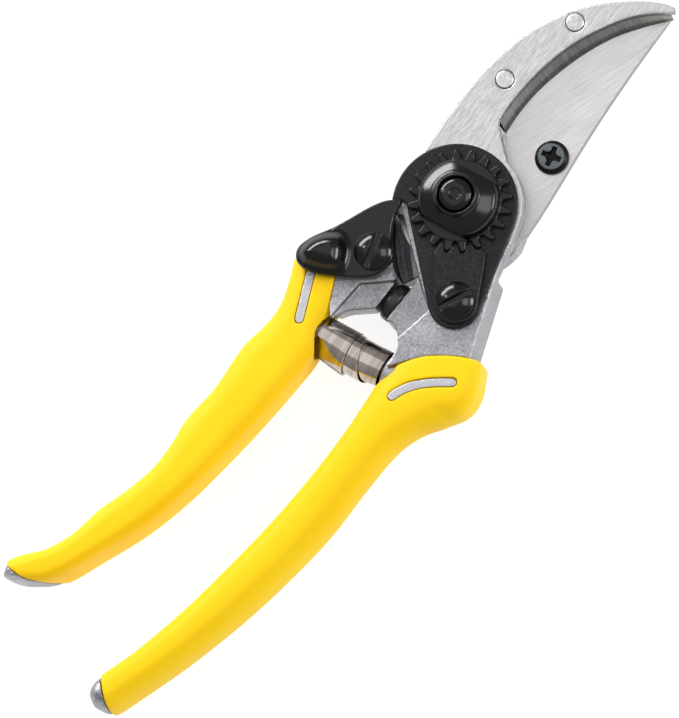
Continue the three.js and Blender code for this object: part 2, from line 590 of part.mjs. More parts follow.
function bladeScrew() {
  const [x, y] = BLADE_SCREW;
  const shank = SCREW_SHANK_R - 0.4;
  const headR = BLADE_SCREW_HEAD_R;
  let screw = turned([[0, FORE_ARM_BOTTOM], [shank, FORE_ARM_BOTTOM], [shank, BLADE_TOP],
    [headR, BLADE_TOP], [headR, BLADE_TOP + 0.9], [headR - 0.7, BLADE_TOP + 1.6],
    [0, BLADE_TOP + 1.8]], [x, y], 40);
  for (const heading of [20, 110]) {
    const bar = new THREE.BoxGeometry(4.2, 1.0, 2.2);
    screw = screw.subtract(solid(bar.rotateZ(rad(heading)).translate(x, y, BLADE_TOP + 1.9)));
  }
  return screw;
}

const pivotBolt = () => turned([[0, 0], [HEAD_R - 0.6, 0], [HEAD_R, 0.6], [HEAD_R, HEAD_TOP],
  [BOLT_R, HEAD_TOP], [BOLT_R, BOLT_TOP - 0.9], [BOLT_R - 1, BOLT_TOP - 0.25], [0, BOLT_TOP]]);

const pivotBush = () => disc(BUSH_R, LOWER_BOTTOM + BUSH_LENGTH_GAP, BLADE_TOP, [0, 0], 48)
  .subtract(bore([0, 0], BOLT_R + FIT_GAP, 48));

const frictionWasher = () => disc(10.5, HEAD_TOP, LOWER_BOTTOM, [0, 0], 48)
  .subtract(bore([0, 0], BOLT_R + FIT_GAP, 48));

// ---------------------------------------------------------------- bumper, catch, spring

const bumperAxis = [-Math.sin(rad(BUMPER_TILT)), Math.cos(rad(BUMPER_TILT))]; // towards the stop
const bumperInward = bumperAxis.map((v) => -v);

// A point on the bumper's axis, `depth` behind its free face.
function bumperPoint(depth) {
  return [BUMPER_FACE[0] - bumperAxis[0] * depth, BUMPER_FACE[1] - bumperAxis[1] * depth];
}

// A point of the bumper's seat, `along` to the right of its axis.
function bumperSeat(along) {
  const [x, y] = bumperPoint(BUMPER_LENGTH + 0.02);
  return [x + bumperAxis[1] * along, y - bumperAxis[0] * along];
}

function rubberBumper() {
  const bulge = 0.5;
  const depth = BUMPER_LENGTH;
  const profile = [[0, 0], [BUMPER_R - 1.2, 0], [BUMPER_R - 0.3, bulge], [BUMPER_R, 1.4],
    [BUMPER_R, depth - 0.8], [BUMPER_R - 0.5, depth], [2.0, depth], [2.0, depth + 2.6], [0, depth + 2.6]];
  return turnedAlong(profile, bumperPoint(0), bumperInward);
}

const CATCH_PLAN = outline(smooth([[-9.0, 10.5], [-10.2, 11.8], [-12.4, 13.6], [-16, 15.2], [-21, 16.8],
  [-26, 18.5], [-31, 20.4], [-34, 20.9], [-36.2, 19.5], [-36.7, 17.0], [-35.4, 13.2], [-32.4, 8.6],
  [-29.2, 4.6], [-26.6, 2.5], [-23.4, 1.7], [-20.6, 2.3], [-18.6, 4.6], [-16.2, 7.0], [-13, 8.9],
  [-10, 9.8], [-9.0, 10.5]], 2));
const KNOB_PLAN = outline(smooth([[-35.9, 17.0], [-35.3, 19.1], [-33.6, 20.1], [-30.6, 19.9],
  [-27.8, 18.5], [-25.5, 16.2], [-25.2, 14.2], [-26.9, 11.7], [-29.6, 9.9], [-31.6, 9.9],
  [-34.2, 13.2], [-35.9, 17.0]], 2));
const KNOB_CENTRE = [-30.4, 14.0];

function thumbCatch() {
  const knob = stack([
    { z: CATCH_BOTTOM + 0.5, points: KNOB_PLAN },
    { z: KNOB_TOP - 2.8, points: shrunk(KNOB_PLAN, KNOB_CENTRE, 0.97) },
    { z: KNOB_TOP - 1.6, points: shrunk(KNOB_PLAN, KNOB_CENTRE, 0.87) },
    { z: KNOB_TOP - 0.6, points: shrunk(KNOB_PLAN, KNOB_CENTRE, 0.66) },
    { z: KNOB_TOP, points: shrunk(KNOB_PLAN, KNOB_CENTRE, 0.3) },
  ]);
  return slab(CATCH_PLAN, CATCH_BOTTOM, CATCH_TOP).add(knob)
    .subtract(bore(CATCH_PIVOT, SCREW_SHANK_R + RUN_GAP, 40));
}

const catchWasher = () => disc(4.4, BOSS_TOP, CATCH_BOTTOM - 0.05, CATCH_PIVOT)
  .subtract(bore(CATCH_PIVOT, SCREW_SHANK_R + FIT_GAP));

// One strip wound into a cone, each turn partly inside the one before it.
function voluteSpring() {
  const { width, thick, stepIn, turns, stepsPerTurn } = SPRING_STRIP;
  const steps = turns * stepsPerTurn;
  const stripEdge = edge(STRIP_EDGE);
  const lastEdge = STRIP_EDGE[STRIP_EDGE.length - 1][1];
  const away = new THREE.Vector3(...awayFromPivot, 0);
  const towardsAnvil = new THREE.Vector3(-springAxis[0], -springAxis[1], 0);
  const up = new THREE.Vector3(0, 0, 1);
  const centre = new THREE.Vector3((SPRING_ANVIL_END[0] + SPRING_BLADE_END[0]) / 2,
    (SPRING_ANVIL_END[1] + SPRING_BLADE_END[1]) / 2, HANDLE_Z);
  const rings = [];
  for (let k = 0; k <= steps; k++) {
    const u = (k / steps - 0.5) * turns;
    const outerR = SPRING_R - stepIn * (u + turns / 2);
    const phi = 2 * Math.PI * (0.25 - u);
    const corner = (innerR, along) => {
      const r = innerR + swell(along);
      return centre.clone().addScaledVector(towardsAnvil, along)
        .addScaledVector(away, swell(along) + r * Math.cos(phi)).addScaledVector(up, r * Math.sin(phi));
    };
    const far = Math.min(stripEdge(u), lastEdge);
    rings.push([
      corner(outerR - thick, far - width), corner(outerR - thick, far),
      corner(outerR, far), corner(outerR, far - width),
    ]);
  }
  const square = () => [[0, 0], [1, 0], [1, 1], [0, 1]].map(([x, y]) => new THREE.Vector2(x, y));
  return ringSolid(rings, square);
}

// ---------------------------------------------------------------- assembly

const pieces = [
  ["anvil_handle_frame", anvilHandleFrame, FORGED],
  ["anvil_blade", anvilBlade, GROUND_STEEL],
  ["anvil_rivet_rear", () => rivet(RIVETS[0]), BRIGHT_STEEL],
  ["anvil_rivet_front", () => rivet(RIVETS[1]), BRIGHT_STEEL],
  ["anvil_handle_grip", anvilHandleGrip, YELLOW_PVC],
  ["cover_plate", coverPlate, BLACKENED],
  ["pivot_bolt", pivotBolt, BLACKENED],
  ["pivot_bush", pivotBush, BRIGHT_STEEL],
  ["friction_washer", frictionWasher, BRIGHT_STEEL],
  ["pivot_nut", pivotNut, BLACKENED],
  ["lock_segment", lockSegment, BLACKENED],
  ["segment_screw", () => slottedScrew(SEGMENT_SCREW, FLANGE_TOP, 8, -19), BLACKENED],
  ["rubber_bumper", rubberBumper, RUBBER],
  ["volute_spring", voluteSpring, CHROME],
  ["blade_handle_frame", bladeHandleFrame, FORGED],
  ["cutting_blade", cuttingBlade, GROUND_STEEL],
  ["blade_screw", bladeScrew, BLACKENED],
  ["blade_handle_grip", bladeHandleGrip, YELLOW_PVC],
  ["catch_washer", catchWasher, BRIGHT_STEEL],
  ["catch_screw", () => slottedScrew(CATCH_PIVOT, CATCH_TOP + 0.05, 8, 22), BLACKENED],
  ["thumb_catch", thumbCatch, BLACKENED],
];

for (const [name, make, look] of pieces) addPiece(name, make(), look);

export default root;
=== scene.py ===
import math

import bmesh
import bpy
import numpy as np
from mathutils import Matrix, Vector


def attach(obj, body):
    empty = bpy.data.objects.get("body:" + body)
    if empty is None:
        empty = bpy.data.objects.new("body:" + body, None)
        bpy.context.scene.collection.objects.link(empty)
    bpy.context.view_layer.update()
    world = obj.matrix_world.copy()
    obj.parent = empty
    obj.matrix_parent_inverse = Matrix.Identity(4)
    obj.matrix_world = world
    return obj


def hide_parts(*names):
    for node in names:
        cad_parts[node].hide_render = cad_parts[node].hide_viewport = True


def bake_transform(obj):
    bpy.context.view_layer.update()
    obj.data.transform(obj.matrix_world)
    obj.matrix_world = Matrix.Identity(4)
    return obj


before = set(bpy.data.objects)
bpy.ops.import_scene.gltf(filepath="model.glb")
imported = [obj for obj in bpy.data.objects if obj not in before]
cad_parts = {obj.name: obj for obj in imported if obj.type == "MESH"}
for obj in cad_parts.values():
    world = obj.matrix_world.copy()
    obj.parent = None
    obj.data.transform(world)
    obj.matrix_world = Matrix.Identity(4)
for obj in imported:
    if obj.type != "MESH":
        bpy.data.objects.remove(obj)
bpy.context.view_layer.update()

# Lengths below are in millimetres, in the frame of the CAD model; meshes are made in metres.
MM = 0.001

# ---------------------------------------------------------------- dimensions shared with the CAD

BLADE_TOP = 10.4
ANVIL_BOTTOM = 10.45
FRAME_TOP = 15.3
PLATE_TOP = 16.5
FLANGE_TOP = 18.0
NUT_TOP = 24.2
BOLT_R, HEAD_R, HEAD_TOP = 4.0, 8.5, 2.0

TEETH, TOOTH_TIP_R, TOOTH_ROOT_R, TOOTH_PHASE = 20, 12.6, 10.1, -97
NUT_FLATS = ((-165.8, 7.6), (14.2, 7.2))  # heading and distance of the wrench flats

SEGMENT_SCREW = (-18.3, -16.2)
CATCH_PIVOT = (-22.7, 6.7)
BLADE_SCREW = (22.8, -7.5)
RIVETS = {"rear": (28.9, 13.0), "front": (50.2, 9.9)}
SCREW_HEAD_R, SCREW_SHANK_R, SLOT_WIDTH, SLOT_DEPTH = 4.6, 2.4, 1.5, 1.7
BLADE_SCREW_HEAD_R, RIVET_R = 4.1, 2.2
FIT_GAP, RUN_GAP = 0.3, 0.08

HANDLE_Z, HANDLE_HALF, GRIP_SKIN, EDGE_INSET, TIP_INSET = 8.9, 7.5, 2.6, 0.3, 0.5
RIB_WIDTH = 2.1

CATCH_BOTTOM, CATCH_TOP, KNOB_TOP = 16.6, 18.6, 22.4

BUMPER_R, BUMPER_LENGTH, BUMPER_FACE, BUMPER_TILT = 4.9, 3.6, (-27.85, -1.56), 5
SPRING_ENDS = np.array([(-40.9, -12.7), (-45.3, 4.5)])  # anvil side, blade side
SPRING_R, STRIP_WIDTH, STRIP_THICK, STRIP_STEP_IN, STRIP_TURNS = 5.1, 8.6, 0.22, 0.28, 3.5
STRIP_EDGE = [(-1.75, -0.1), (-0.75, -0.1), (-0.25, 1.0), (0.25, 4.9), (0.75, 8.75), (1.75, 8.75)]
SWELL_RISE, SWELL_PEAK, SWELL_REACH = 0.62, 1.5, 9
SEAT_DEPTH = 4

# Outer and inner edges of the handles on the plan, from the end to the front.
BLADE_HANDLE = dict(
    outer=[(-139.4, 21.2), (-136.2, 22.7), (-132, 21.2), (-127, 17.9), (-120, 15.7), (-112, 15.1),
           (-104, 13.4), (-96, 12.4), (-89, 13.1), (-82, 14.6), (-72, 14.8), (-60, 16.7),
           (-52, 16.3), (-46, 17.2), (-40, 20.1), (-36, 22.3), (-30, 23.5), (-24, 24)],
    inner=[(-139.4, 20.6), (-138.2, 17.6), (-136, 14.6), (-131, 10.2), (-120, 6.5), (-108, 3.0),
           (-95, 1.1), (-80, 0.4), (-68, 0.4), (-58, 0.8), (-50, 1.6), (-45, 4.0), (-40, 5.0),
           (-24, 5.5)],
)
ANVIL_HANDLE = dict(
    outer=[(-146.9, -17.8), (-145.4, -21.2), (-140, -23.2), (-130, -25.7), (-120, -27.7),
           (-105, -29.8), (-90, -30.8), (-78, -30.8), (-66, -29.6), (-54, -29.0), (-47, -30.5),
           (-41, -33.7), (-36, -35.5), (-31, -34.6), (-24, -30)],
    inner=[(-146.9, -17.0), (-145.6, -14.3), (-142.8, -13.1), (-139, -13.5), (-130, -15.4),
           (-115, -17.2), (-100, -17.9), (-85, -18.1), (-70, -17.4), (-58, -16.1), (-50, -14.7),
           (-43, -13.4), (-36, -12.5), (-24, -12)],
)

# ---------------------------------------------------------------- outlines on the plan


def spline(points, steps=8):
    """A smooth curve through the points, with `steps` chords between neighbours."""
    p = np.array(points, float)
    p = np.vstack([2 * p[0] - p[1], p, 2 * p[-1] - p[-2]])
    out = []
    for a, b, c, d in zip(p, p[1:], p[2:], p[3:]):
        for t in np.arange(steps) / steps:
            out.append(0.5 * (2 * b + (c - a) * t + (2 * a - 5 * b + 4 * c - d) * t**2
                              + (3 * b - a - 3 * c + d) * t**3))
    out.append(p[-2])
    return np.array(out)


def arc(centre, r, start, end, step=3):
    a = np.radians(np.linspace(start, end, max(2, int(abs(end - start) / step) + 1)))
    return np.stack([centre[0] + r * np.cos(a), centre[1] + r * np.sin(a)], 1)


def band(path, width):
    """A strip of constant width along a path, with round ends."""
    line = spline(path)
    t = np.gradient(line, axis=0)
    t /= np.linalg.norm(t, axis=1)[:, None]
    side = np.stack([-t[:, 1], t[:, 0]], 1) * width / 2
    heading = np.degrees(np.arctan2(t[:, 1], t[:, 0]))
    front = arc(line[-1], width / 2, heading[-1] + 90, heading[-1] - 90, 15)
    back = arc(line[0], width / 2, heading[0] - 90, heading[0] - 270, 15)
    return np.vstack([line + side, front, (line - side)[::-1], back])


def edge(points):
    """A handle's edge as a function of x: cubic between the points."""
    p = np.array(points, float)
    lo, hi = np.maximum(np.arange(len(p)) - 1, 0), np.minimum(np.arange(len(p)) + 1, len(p) - 1)
    slope = (p[hi, 1] - p[lo, 1]) / (p[hi, 0] - p[lo, 0])

    def at(x):
        i = np.clip(np.searchsorted(p[:, 0], x) - 1, 0, len(p) - 2)
        w = p[i + 1, 0] - p[i, 0]
        t = np.clip((x - p[i, 0]) / w, 0, 1)
        return ((1 + 2 * t) * (1 - t) ** 2 * p[i, 1] + t * (1 - t) ** 2 * w * slope[i]
                + t * t * (3 - 2 * t) * p[i + 1, 1] + t * t * (t - 1) * w * slope[i + 1])

    return at


# ---------------------------------------------------------------- solids as distance fields


class Grid:
    """Sample points over a box."""

    def __init__(self, low, high, pitch):
        self.low, self.pitch = np.array(low, float), pitch
        axes = [np.arange(a, b + pitch, pitch, dtype=np.float32) for a, b in zip(low, high)]
        self.x = axes[0][:, None, None]
        self.y = axes[1][None, :, None]
        self.z = axes[2][None, None, :]


def polygon(points, x, y):
    """Distance from (x, y) to a closed outline, negative inside."""
    best = np.full(np.broadcast_shapes(x.shape, y.shape), 1e9, np.float32)
    inside = np.zeros(best.shape, bool)
    for (x0, y0), (x1, y1) in zip(points, np.roll(points, -1, axis=0)):
        dx, dy = x1 - x0, y1 - y0
        if dx * dx + dy * dy < 1e-12:
            continue
        t = np.clip(((x - x0) * dx + (y - y0) * dy) / (dx * dx + dy * dy), 0, 1)
        best = np.minimum(best, (x - x0 - t * dx) ** 2 + (y - y0 - t * dy) ** 2)
        if dy:
            inside ^= ((y0 <= y) != (y1 <= y)) & (x < x0 + (y - y0) * dx / dy)
    best = np.sqrt(best)
    return np.where(inside, -best, best)


def rounded(side, high, r):
    """The shape where both distances are negative, its edges rounded."""
    side, high = side + r, high + r
    return (np.hypot(np.maximum(side, 0), np.maximum(high, 0))
            + np.minimum(np.maximum(side, high), 0) - r)


def plan(points):
    points = np.array(points, float)
    return lambda g: polygon(points, g.x[:, :, 0], g.y[:, :, 0])[:, :, None]


def hole(centre, r):
    """A round cutter right through."""
    return plan(arc(centre, r, 0, 354, 6))


def slab(points, bottom, top, r=0.3):
    flat = plan(points)
    return lambda g: rounded(flat(g), np.abs(g.z - (bottom + top) / 2) - (top - bottom) / 2, r)


def turned(profile, centre=(0, 0)):
    """A turned solid from (radius, height) pairs; the first and last lie on the axis."""
    points = np.array(profile, float)
    points = np.vstack([[-1, points[0, 1]], points, [-1, points[-1, 1]]])
    return lambda g: polygon(points, np.hypot(g.x - centre[0], g.y - centre[1]), g.z)


def bore(centre, r):
    """A round cutter through everything above a height of 10."""
    return turned([(0, 10), (r, 10), (r, 30), (0, 30)], centre)


def turned_along(profile, start, direction):
    """A turned solid whose axis lies in the plan at the handles' middle height."""
    points = np.array(profile, float)
    points = np.vstack([[-1, points[0, 1]], points, [-1, points[-1, 1]]])
    dx, dy = np.array(direction) / np.hypot(*direction)

    def field(g):
        along = (g.x - start[0]) * dx + (g.y - start[1]) * dy
        across = (g.x - start[0]) * dy - (g.y - start[1]) * dx
        return polygon(points, np.hypot(across, g.z - HANDLE_Z), along)

    return field


def block(centre, half, heading=0, r=0.1):
    """A box turned about the vertical."""
    c, s = math.cos(math.radians(heading)), math.sin(math.radians(heading))

    def field(g):
        u = np.abs((g.x - centre[0]) * c + (g.y - centre[1]) * s) - half[0]
        v = np.abs((g.y - centre[1]) * c - (g.x - centre[0]) * s) - half[1]
        return rounded(np.maximum(u, v), np.abs(g.z - centre[2]) - half[2], r)

    return field


def smooth_min(a, b, k):
    h = np.clip(0.5 + 0.5 * (b - a) / k, 0, 1)
    return b + (a - b) * h - k * h * (1 - h)


def join(*fields, k=0.05):
    def field(g):
        out = fields[0](g)
        for f in fields[1:]:
            out = smooth_min(out, f(g), k)
        return out
    return field


def cut(base, *tools, k=0.05):
    def field(g):
        out = base(g)
        for tool in tools:
            out = -smooth_min(-out, tool(g), k)
        return out
    return field


def net(field, low, high, pitch):
    """Vertices and quads of the field's zero surface: one vertex for each grid cell that it crosses."""
    g = Grid(low, high, pitch)
    values = np.broadcast_to(field(g), (g.x.size, g.y.size, g.z.size)).astype(np.float32)
    inside = values < 0
    spread = [slice(0, -1), slice(1, None)]
    corners = sum(inside[a, b, c].astype(np.int8) for a in spread for b in spread for c in spread)
    active = (corners > 0) & (corners < 8)
    cells = np.argwhere(active)
    number = np.full(active.shape, -1, np.int64)
    number[active] = np.arange(len(cells))
    total, count = np.zeros((len(cells), 3)), np.zeros(len(cells))
    for axis in range(3):
        others = [k for k in range(3) if k != axis]
        for da in (0, 1):
            for db in (0, 1):
                start = cells.copy()
                start[:, others[0]] += da
                start[:, others[1]] += db
                stop = start.copy()
                stop[:, axis] += 1
                a, b = values[tuple(start.T)], values[tuple(stop.T)]
                hit = (a < 0) != (b < 0)
                point = start.astype(float)
                point[:, axis] += np.where(hit, a / np.where(hit, a - b, 1), 0)
                total += point * hit[:, None]
                count += hit
    vertices = g.low + pitch * total / count[:, None]
    quads = []
    for axis in range(3):
        u, v = [(1, 2), (2, 0), (0, 1)][axis]
        first = [slice(1, -1)] * 3
        second = [slice(1, -1)] * 3
        first[axis], second[axis] = slice(0, -1), slice(1, None)
        leaves = inside[tuple(first)] & ~inside[tuple(second)]
        enters = ~inside[tuple(first)] & inside[tuple(second)]
        for mask, order in ((leaves, 1), (enters, -1)):
            at = np.argwhere(mask)
            for k in range(3):
                at[:, k] += k != axis
            ring = []
            for du, dv in ((-1, -1), (0, -1), (0, 0), (-1, 0)):
                cell = at.copy()
                cell[:, u] += du
                cell[:, v] += dv
                ring.append(number[tuple(cell.T)])
            quads.append(np.stack(ring[::order], 1))
    return vertices, np.vstack(quads)


# ---------------------------------------------------------------- making pieces


def add_mesh(name, shells, material, body, nodes, sharp=None):
    """One object from (vertices, faces) shells in millimetres."""
    vertices, faces, base = [], [], 0
    for v, f in shells:
        vertices.append(np.asarray(v, float))
        faces += [[int(i) + base for i in face] for face in f]
        base += len(v)
    mesh = bpy.data.meshes.new(name)
    mesh.from_pydata((np.vstack(vertices) * MM).tolist(), [], faces)
    mesh.validate()
    mesh.shade_smooth()
    if sharp is not None:
        mesh.set_sharp_from_angle(angle=math.radians(sharp))
    piece = bpy.data.objects.new(name, mesh)
    bpy.context.scene.collection.objects.link(piece)
    mesh.materials.append(material)
    if body:
        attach(piece, body)
    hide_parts(*nodes)
    return piece


def cast_copy(node, voxel, passes, keep=None):
    """A CAD node's mesh with its edges softened as in a casting: remeshed, then smoothed.
    What lies behind x = `keep` is cut off."""
    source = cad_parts[node]
    mesh = source.data.copy()
    bm = bmesh.new()
    bm.from_mesh(mesh)
    bmesh.ops.remove_doubles(bm, verts=bm.verts, dist=1e-7)
    if keep is not None:
        geometry = bm.verts[:] + bm.edges[:] + bm.faces[:]
        cutting = bmesh.ops.bisect_plane(bm, geom=geometry, plane_co=(keep * MM, 0, 0),
                                         plane_no=(-1, 0, 0), clear_outer=True)
        rim = [e for e in cutting["geom_cut"] if isinstance(e, bmesh.types.BMEdge)]
        bmesh.ops.holes_fill(bm, edges=rim, sides=0)
    bm.to_mesh(mesh)
    bm.free()
    temporary = bpy.data.objects.new("softened", mesh)
    bpy.context.scene.collection.objects.link(temporary)
    remesh = temporary.modifiers.new("remesh", "REMESH")
    remesh.mode, remesh.voxel_size = "VOXEL", voxel * MM
    smooth = temporary.modifiers.new("smooth", "SMOOTH")
    smooth.factor, smooth.iterations = 0.5, passes
    result = temporary.evaluated_get(bpy.context.evaluated_depsgraph_get()).to_mesh()
    vertices = np.empty(len(result.vertices) * 3, np.float32)
    result.vertices.foreach_get("co", vertices)
    faces = [tuple(p.vertices) for p in result.polygons]
    bpy.data.objects.remove(temporary)
    bpy.data.meshes.remove(mesh)
    return vertices.reshape(-1, 3) / MM, faces


def lathe(profile, centre=(0, 0), sides=96):
    """A clean turned mesh from (radius, height) pairs; the first and last lie on the axis."""
    rings, faces = [], []
    vertices = [(centre[0], centre[1], profile[0][1])]
    for r, z in profile[1:-1]:
        rings.append(len(vertices))
        a = 2 * np.pi * np.arange(sides) / sides
        vertices += list(zip(centre[0] + r * np.cos(a), centre[1] + r * np.sin(a), [z] * sides))
    vertices.append((centre[0], centre[1], profile[-1][1]))
    for i in range(sides):
        j = (i + 1) % sides
        faces.append((0, rings[0] + j, rings[0] + i))
        faces.append((len(vertices) - 1, rings[-1] + i, rings[-1] + j))
        for a, b in zip(rings, rings[1:]):
            faces.append((a + i, a + j, b + j, b + i))
    return vertices, faces


def crisp_copy(name, node, material, bevel, body):
    """A CAD node's mesh with its flat faces joined up and its edges broken by a small bevel."""
    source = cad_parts[node]
    mesh = source.data.copy()
    mesh.name = name
    bm = bmesh.new()
    bm.from_mesh(mesh)
    bmesh.ops.remove_doubles(bm, verts=bm.verts, dist=1e-7)
    bmesh.ops.dissolve_limit(bm, angle_limit=math.radians(0.4), verts=bm.verts, edges=bm.edges)
    bm.to_mesh(mesh)
    bm.free()
    mesh.shade_smooth()
    piece = bpy.data.objects.new(name, mesh)
    bpy.context.scene.collection.objects.link(piece)
    mesh.materials.clear()
    mesh.materials.append(material)
    soften = piece.modifiers.new("bevel", "BEVEL")
    soften.width, soften.segments, soften.limit_method = bevel * MM, 2, "ANGLE"
    soften.angle_limit = math.radians(28)
    level = piece.modifiers.new("flat faces", "WEIGHTED_NORMAL")
    level.mode, level.weight = "FACE_AREA", 100
    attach(piece, body)
    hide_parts(node)
    return piece


# ---------------------------------------------------------------- materials


class Nodes:
    """A small help for node materials."""

    def __init__(self, name):
        self.material = bpy.data.materials.new(name)
        self.material.use_nodes = True
        self.tree = self.material.node_tree
        self.tree.nodes.clear()
        self.out = self.tree.nodes.new("ShaderNodeOutputMaterial")
        self.shader = self.add("ShaderNodeBsdfPrincipled")
        self.link(self.shader.outputs[0], self.out.inputs[0])
        self.coordinates = self.add("ShaderNodeTexCoord").outputs["Object"]

    def add(self, kind, **values):
        node = self.tree.nodes.new(kind)
        for key, value in values.items():
            setattr(node, key, value)
        return node

    def link(self, a, b):
        self.tree.links.new(a, b)

    def feed(self, socket, value):
        """Give a socket a link or a fixed value."""
        if isinstance(value, bpy.types.NodeSocket):
            self.link(value, socket)
        else:
            socket.default_value = value

    def set(self, **inputs):
        for key, value in inputs.items():
            self.feed(self.shader.inputs[key.replace("_", " ")], value)

    def axes(self, vector=None):
        """The X, Y and Z of a vector, by default of the place on the object."""
        node = self.add("ShaderNodeSeparateXYZ")
        self.link(vector or self.coordinates, node.inputs[0])
        return node.outputs["X"], node.outputs["Y"], node.outputs["Z"]

    def mapped(self, heading=0, scale=(1, 1, 1)):
        """Object coordinates turned about the vertical, then stretched."""
        turn = self.add("ShaderNodeMapping", vector_type="TEXTURE")
        turn.inputs["Rotation"].default_value = (0, 0, math.radians(heading))
        self.link(self.coordinates, turn.inputs["Vector"])
        stretch = self.add("ShaderNodeMapping", vector_type="POINT")
        stretch.inputs["Scale"].default_value = scale
        self.link(turn.outputs[0], stretch.inputs["Vector"])
        return stretch.outputs[0]

    def noise(self, scale, detail=2.0, roughness=0.5, vector=None):
        node = self.add("ShaderNodeTexNoise")
        node.inputs["Scale"].default_value = scale
        node.inputs["Detail"].default_value = detail
        node.inputs["Roughness"].default_value = roughness
        self.link(vector or self.coordinates, node.inputs["Vector"])
        return node.outputs["Fac"]

    def span(self, value, low, high, start=0.3, stop=0.7):
        """A value from start to stop carried to low to high."""
        node = self.add("ShaderNodeMapRange")
        for key, number in (("From Min", start), ("From Max", stop), ("To Min", low), ("To Max", high)):
            node.inputs[key].default_value = number
        self.link(value, node.inputs["Value"])
        return node.outputs["Result"]

    def fade(self, place, reach, low=0, high=1):
        """low before a reach in millimetres, high after it."""
        return self.span(place, low, high, reach[0] * MM, reach[1] * MM)

    def window(self, place, rise, fall):
        """1 between two reaches, 0 outside them."""
        return self.math("MULTIPLY", self.fade(place, rise), self.fade(place, fall, 1, 0))

    def towards(self, direction, x, y):
        """How far a place lies along a direction on the plan."""
        return self.math("ADD", self.math("MULTIPLY", x, direction[0]),
                         self.math("MULTIPLY", y, direction[1]))

    def mix(self, share, a, b):
        node = self.add("ShaderNodeMix", data_type="RGBA")
        for socket, value in ((node.inputs["Factor"], share), (node.inputs[6], a), (node.inputs[7], b)):
            self.feed(socket, value)
        return node.outputs[2]

    def math(self, operation, a, b=0.0):
        node = self.add("ShaderNodeMath", operation=operation)
        for socket, value in zip(node.inputs, (a, b)):
            self.feed(socket, value)
        return node.outputs[0]

    def bump(self, *layers):
        """Normal from (height, depth in millimetres) layers."""
        normal = None
        for height, depth in layers:
            node = self.add("ShaderNodeBump")
            node.inputs["Distance"].default_value = depth * MM
            self.link(height, node.inputs["Height"])
            if normal:
                self.link(normal, node.inputs["Normal"])
            normal = node.outputs[0]
        self.link(normal, self.shader.inputs["Normal"])


def grey(value, warm=0.0):
    return (value * (1 + warm), value, value * (1 - warm), 1)


def yellow_pvc():
    n = Nodes("yellow_pvc")
    cloud = n.noise(45, 3)
    colour = n.mix(n.span(cloud, 0, 1), (0.96, 0.60, 0.003, 1), (0.98, 0.64, 0.007, 1))
    speck = n.noise(1500, 2)
    n.set(Base_Color=n.mix(n.span(speck, 0, 0.3, 0.62, 0.8), colour, (0.84, 0.50, 0.006, 1)),
          Roughness=n.span(n.noise(300, 3), 0.46, 0.56), IOR=1.45, Specular_IOR_Level=0.2,
          Subsurface_Weight=0.12, Subsurface_Scale=0.002, Subsurface_Radius=(1.0, 0.6, 0.15))
    n.bump((n.noise(110, 2), 0.08), (n.noise(1900, 2), 0.012))
    return n.material


# Where the forgings change their look: reaches of x or of height, from where to where.
RAW_BELOW, RAW_BEHIND = (14.0, 14.8), (-6, 2)  # the dull skin of the casting
BLADE_SLOT_BEHIND, ANVIL_SLOT_BEHIND = (-40, -37), (-57, -55)  # of x, and of x + y
SLOTS_AHEAD = (-90, -80)  # behind this is the bare end of a handle
BRUSHED_AHEAD, BRUSHED_ABOVE = (1, 5), (15.15, 15.25)  # the hook's flat face
# The recess between the catch and the cover plate, which gets painted shade: the direction across it,
# its sides and its ends.
RECESS_ACROSS = (0.776, -0.632)
RECESS_SIDES = (-18.6, -17.8), (-14.8, -14.2)
RECESS_ENDS = (-1, 0.5), (15.5, 17)


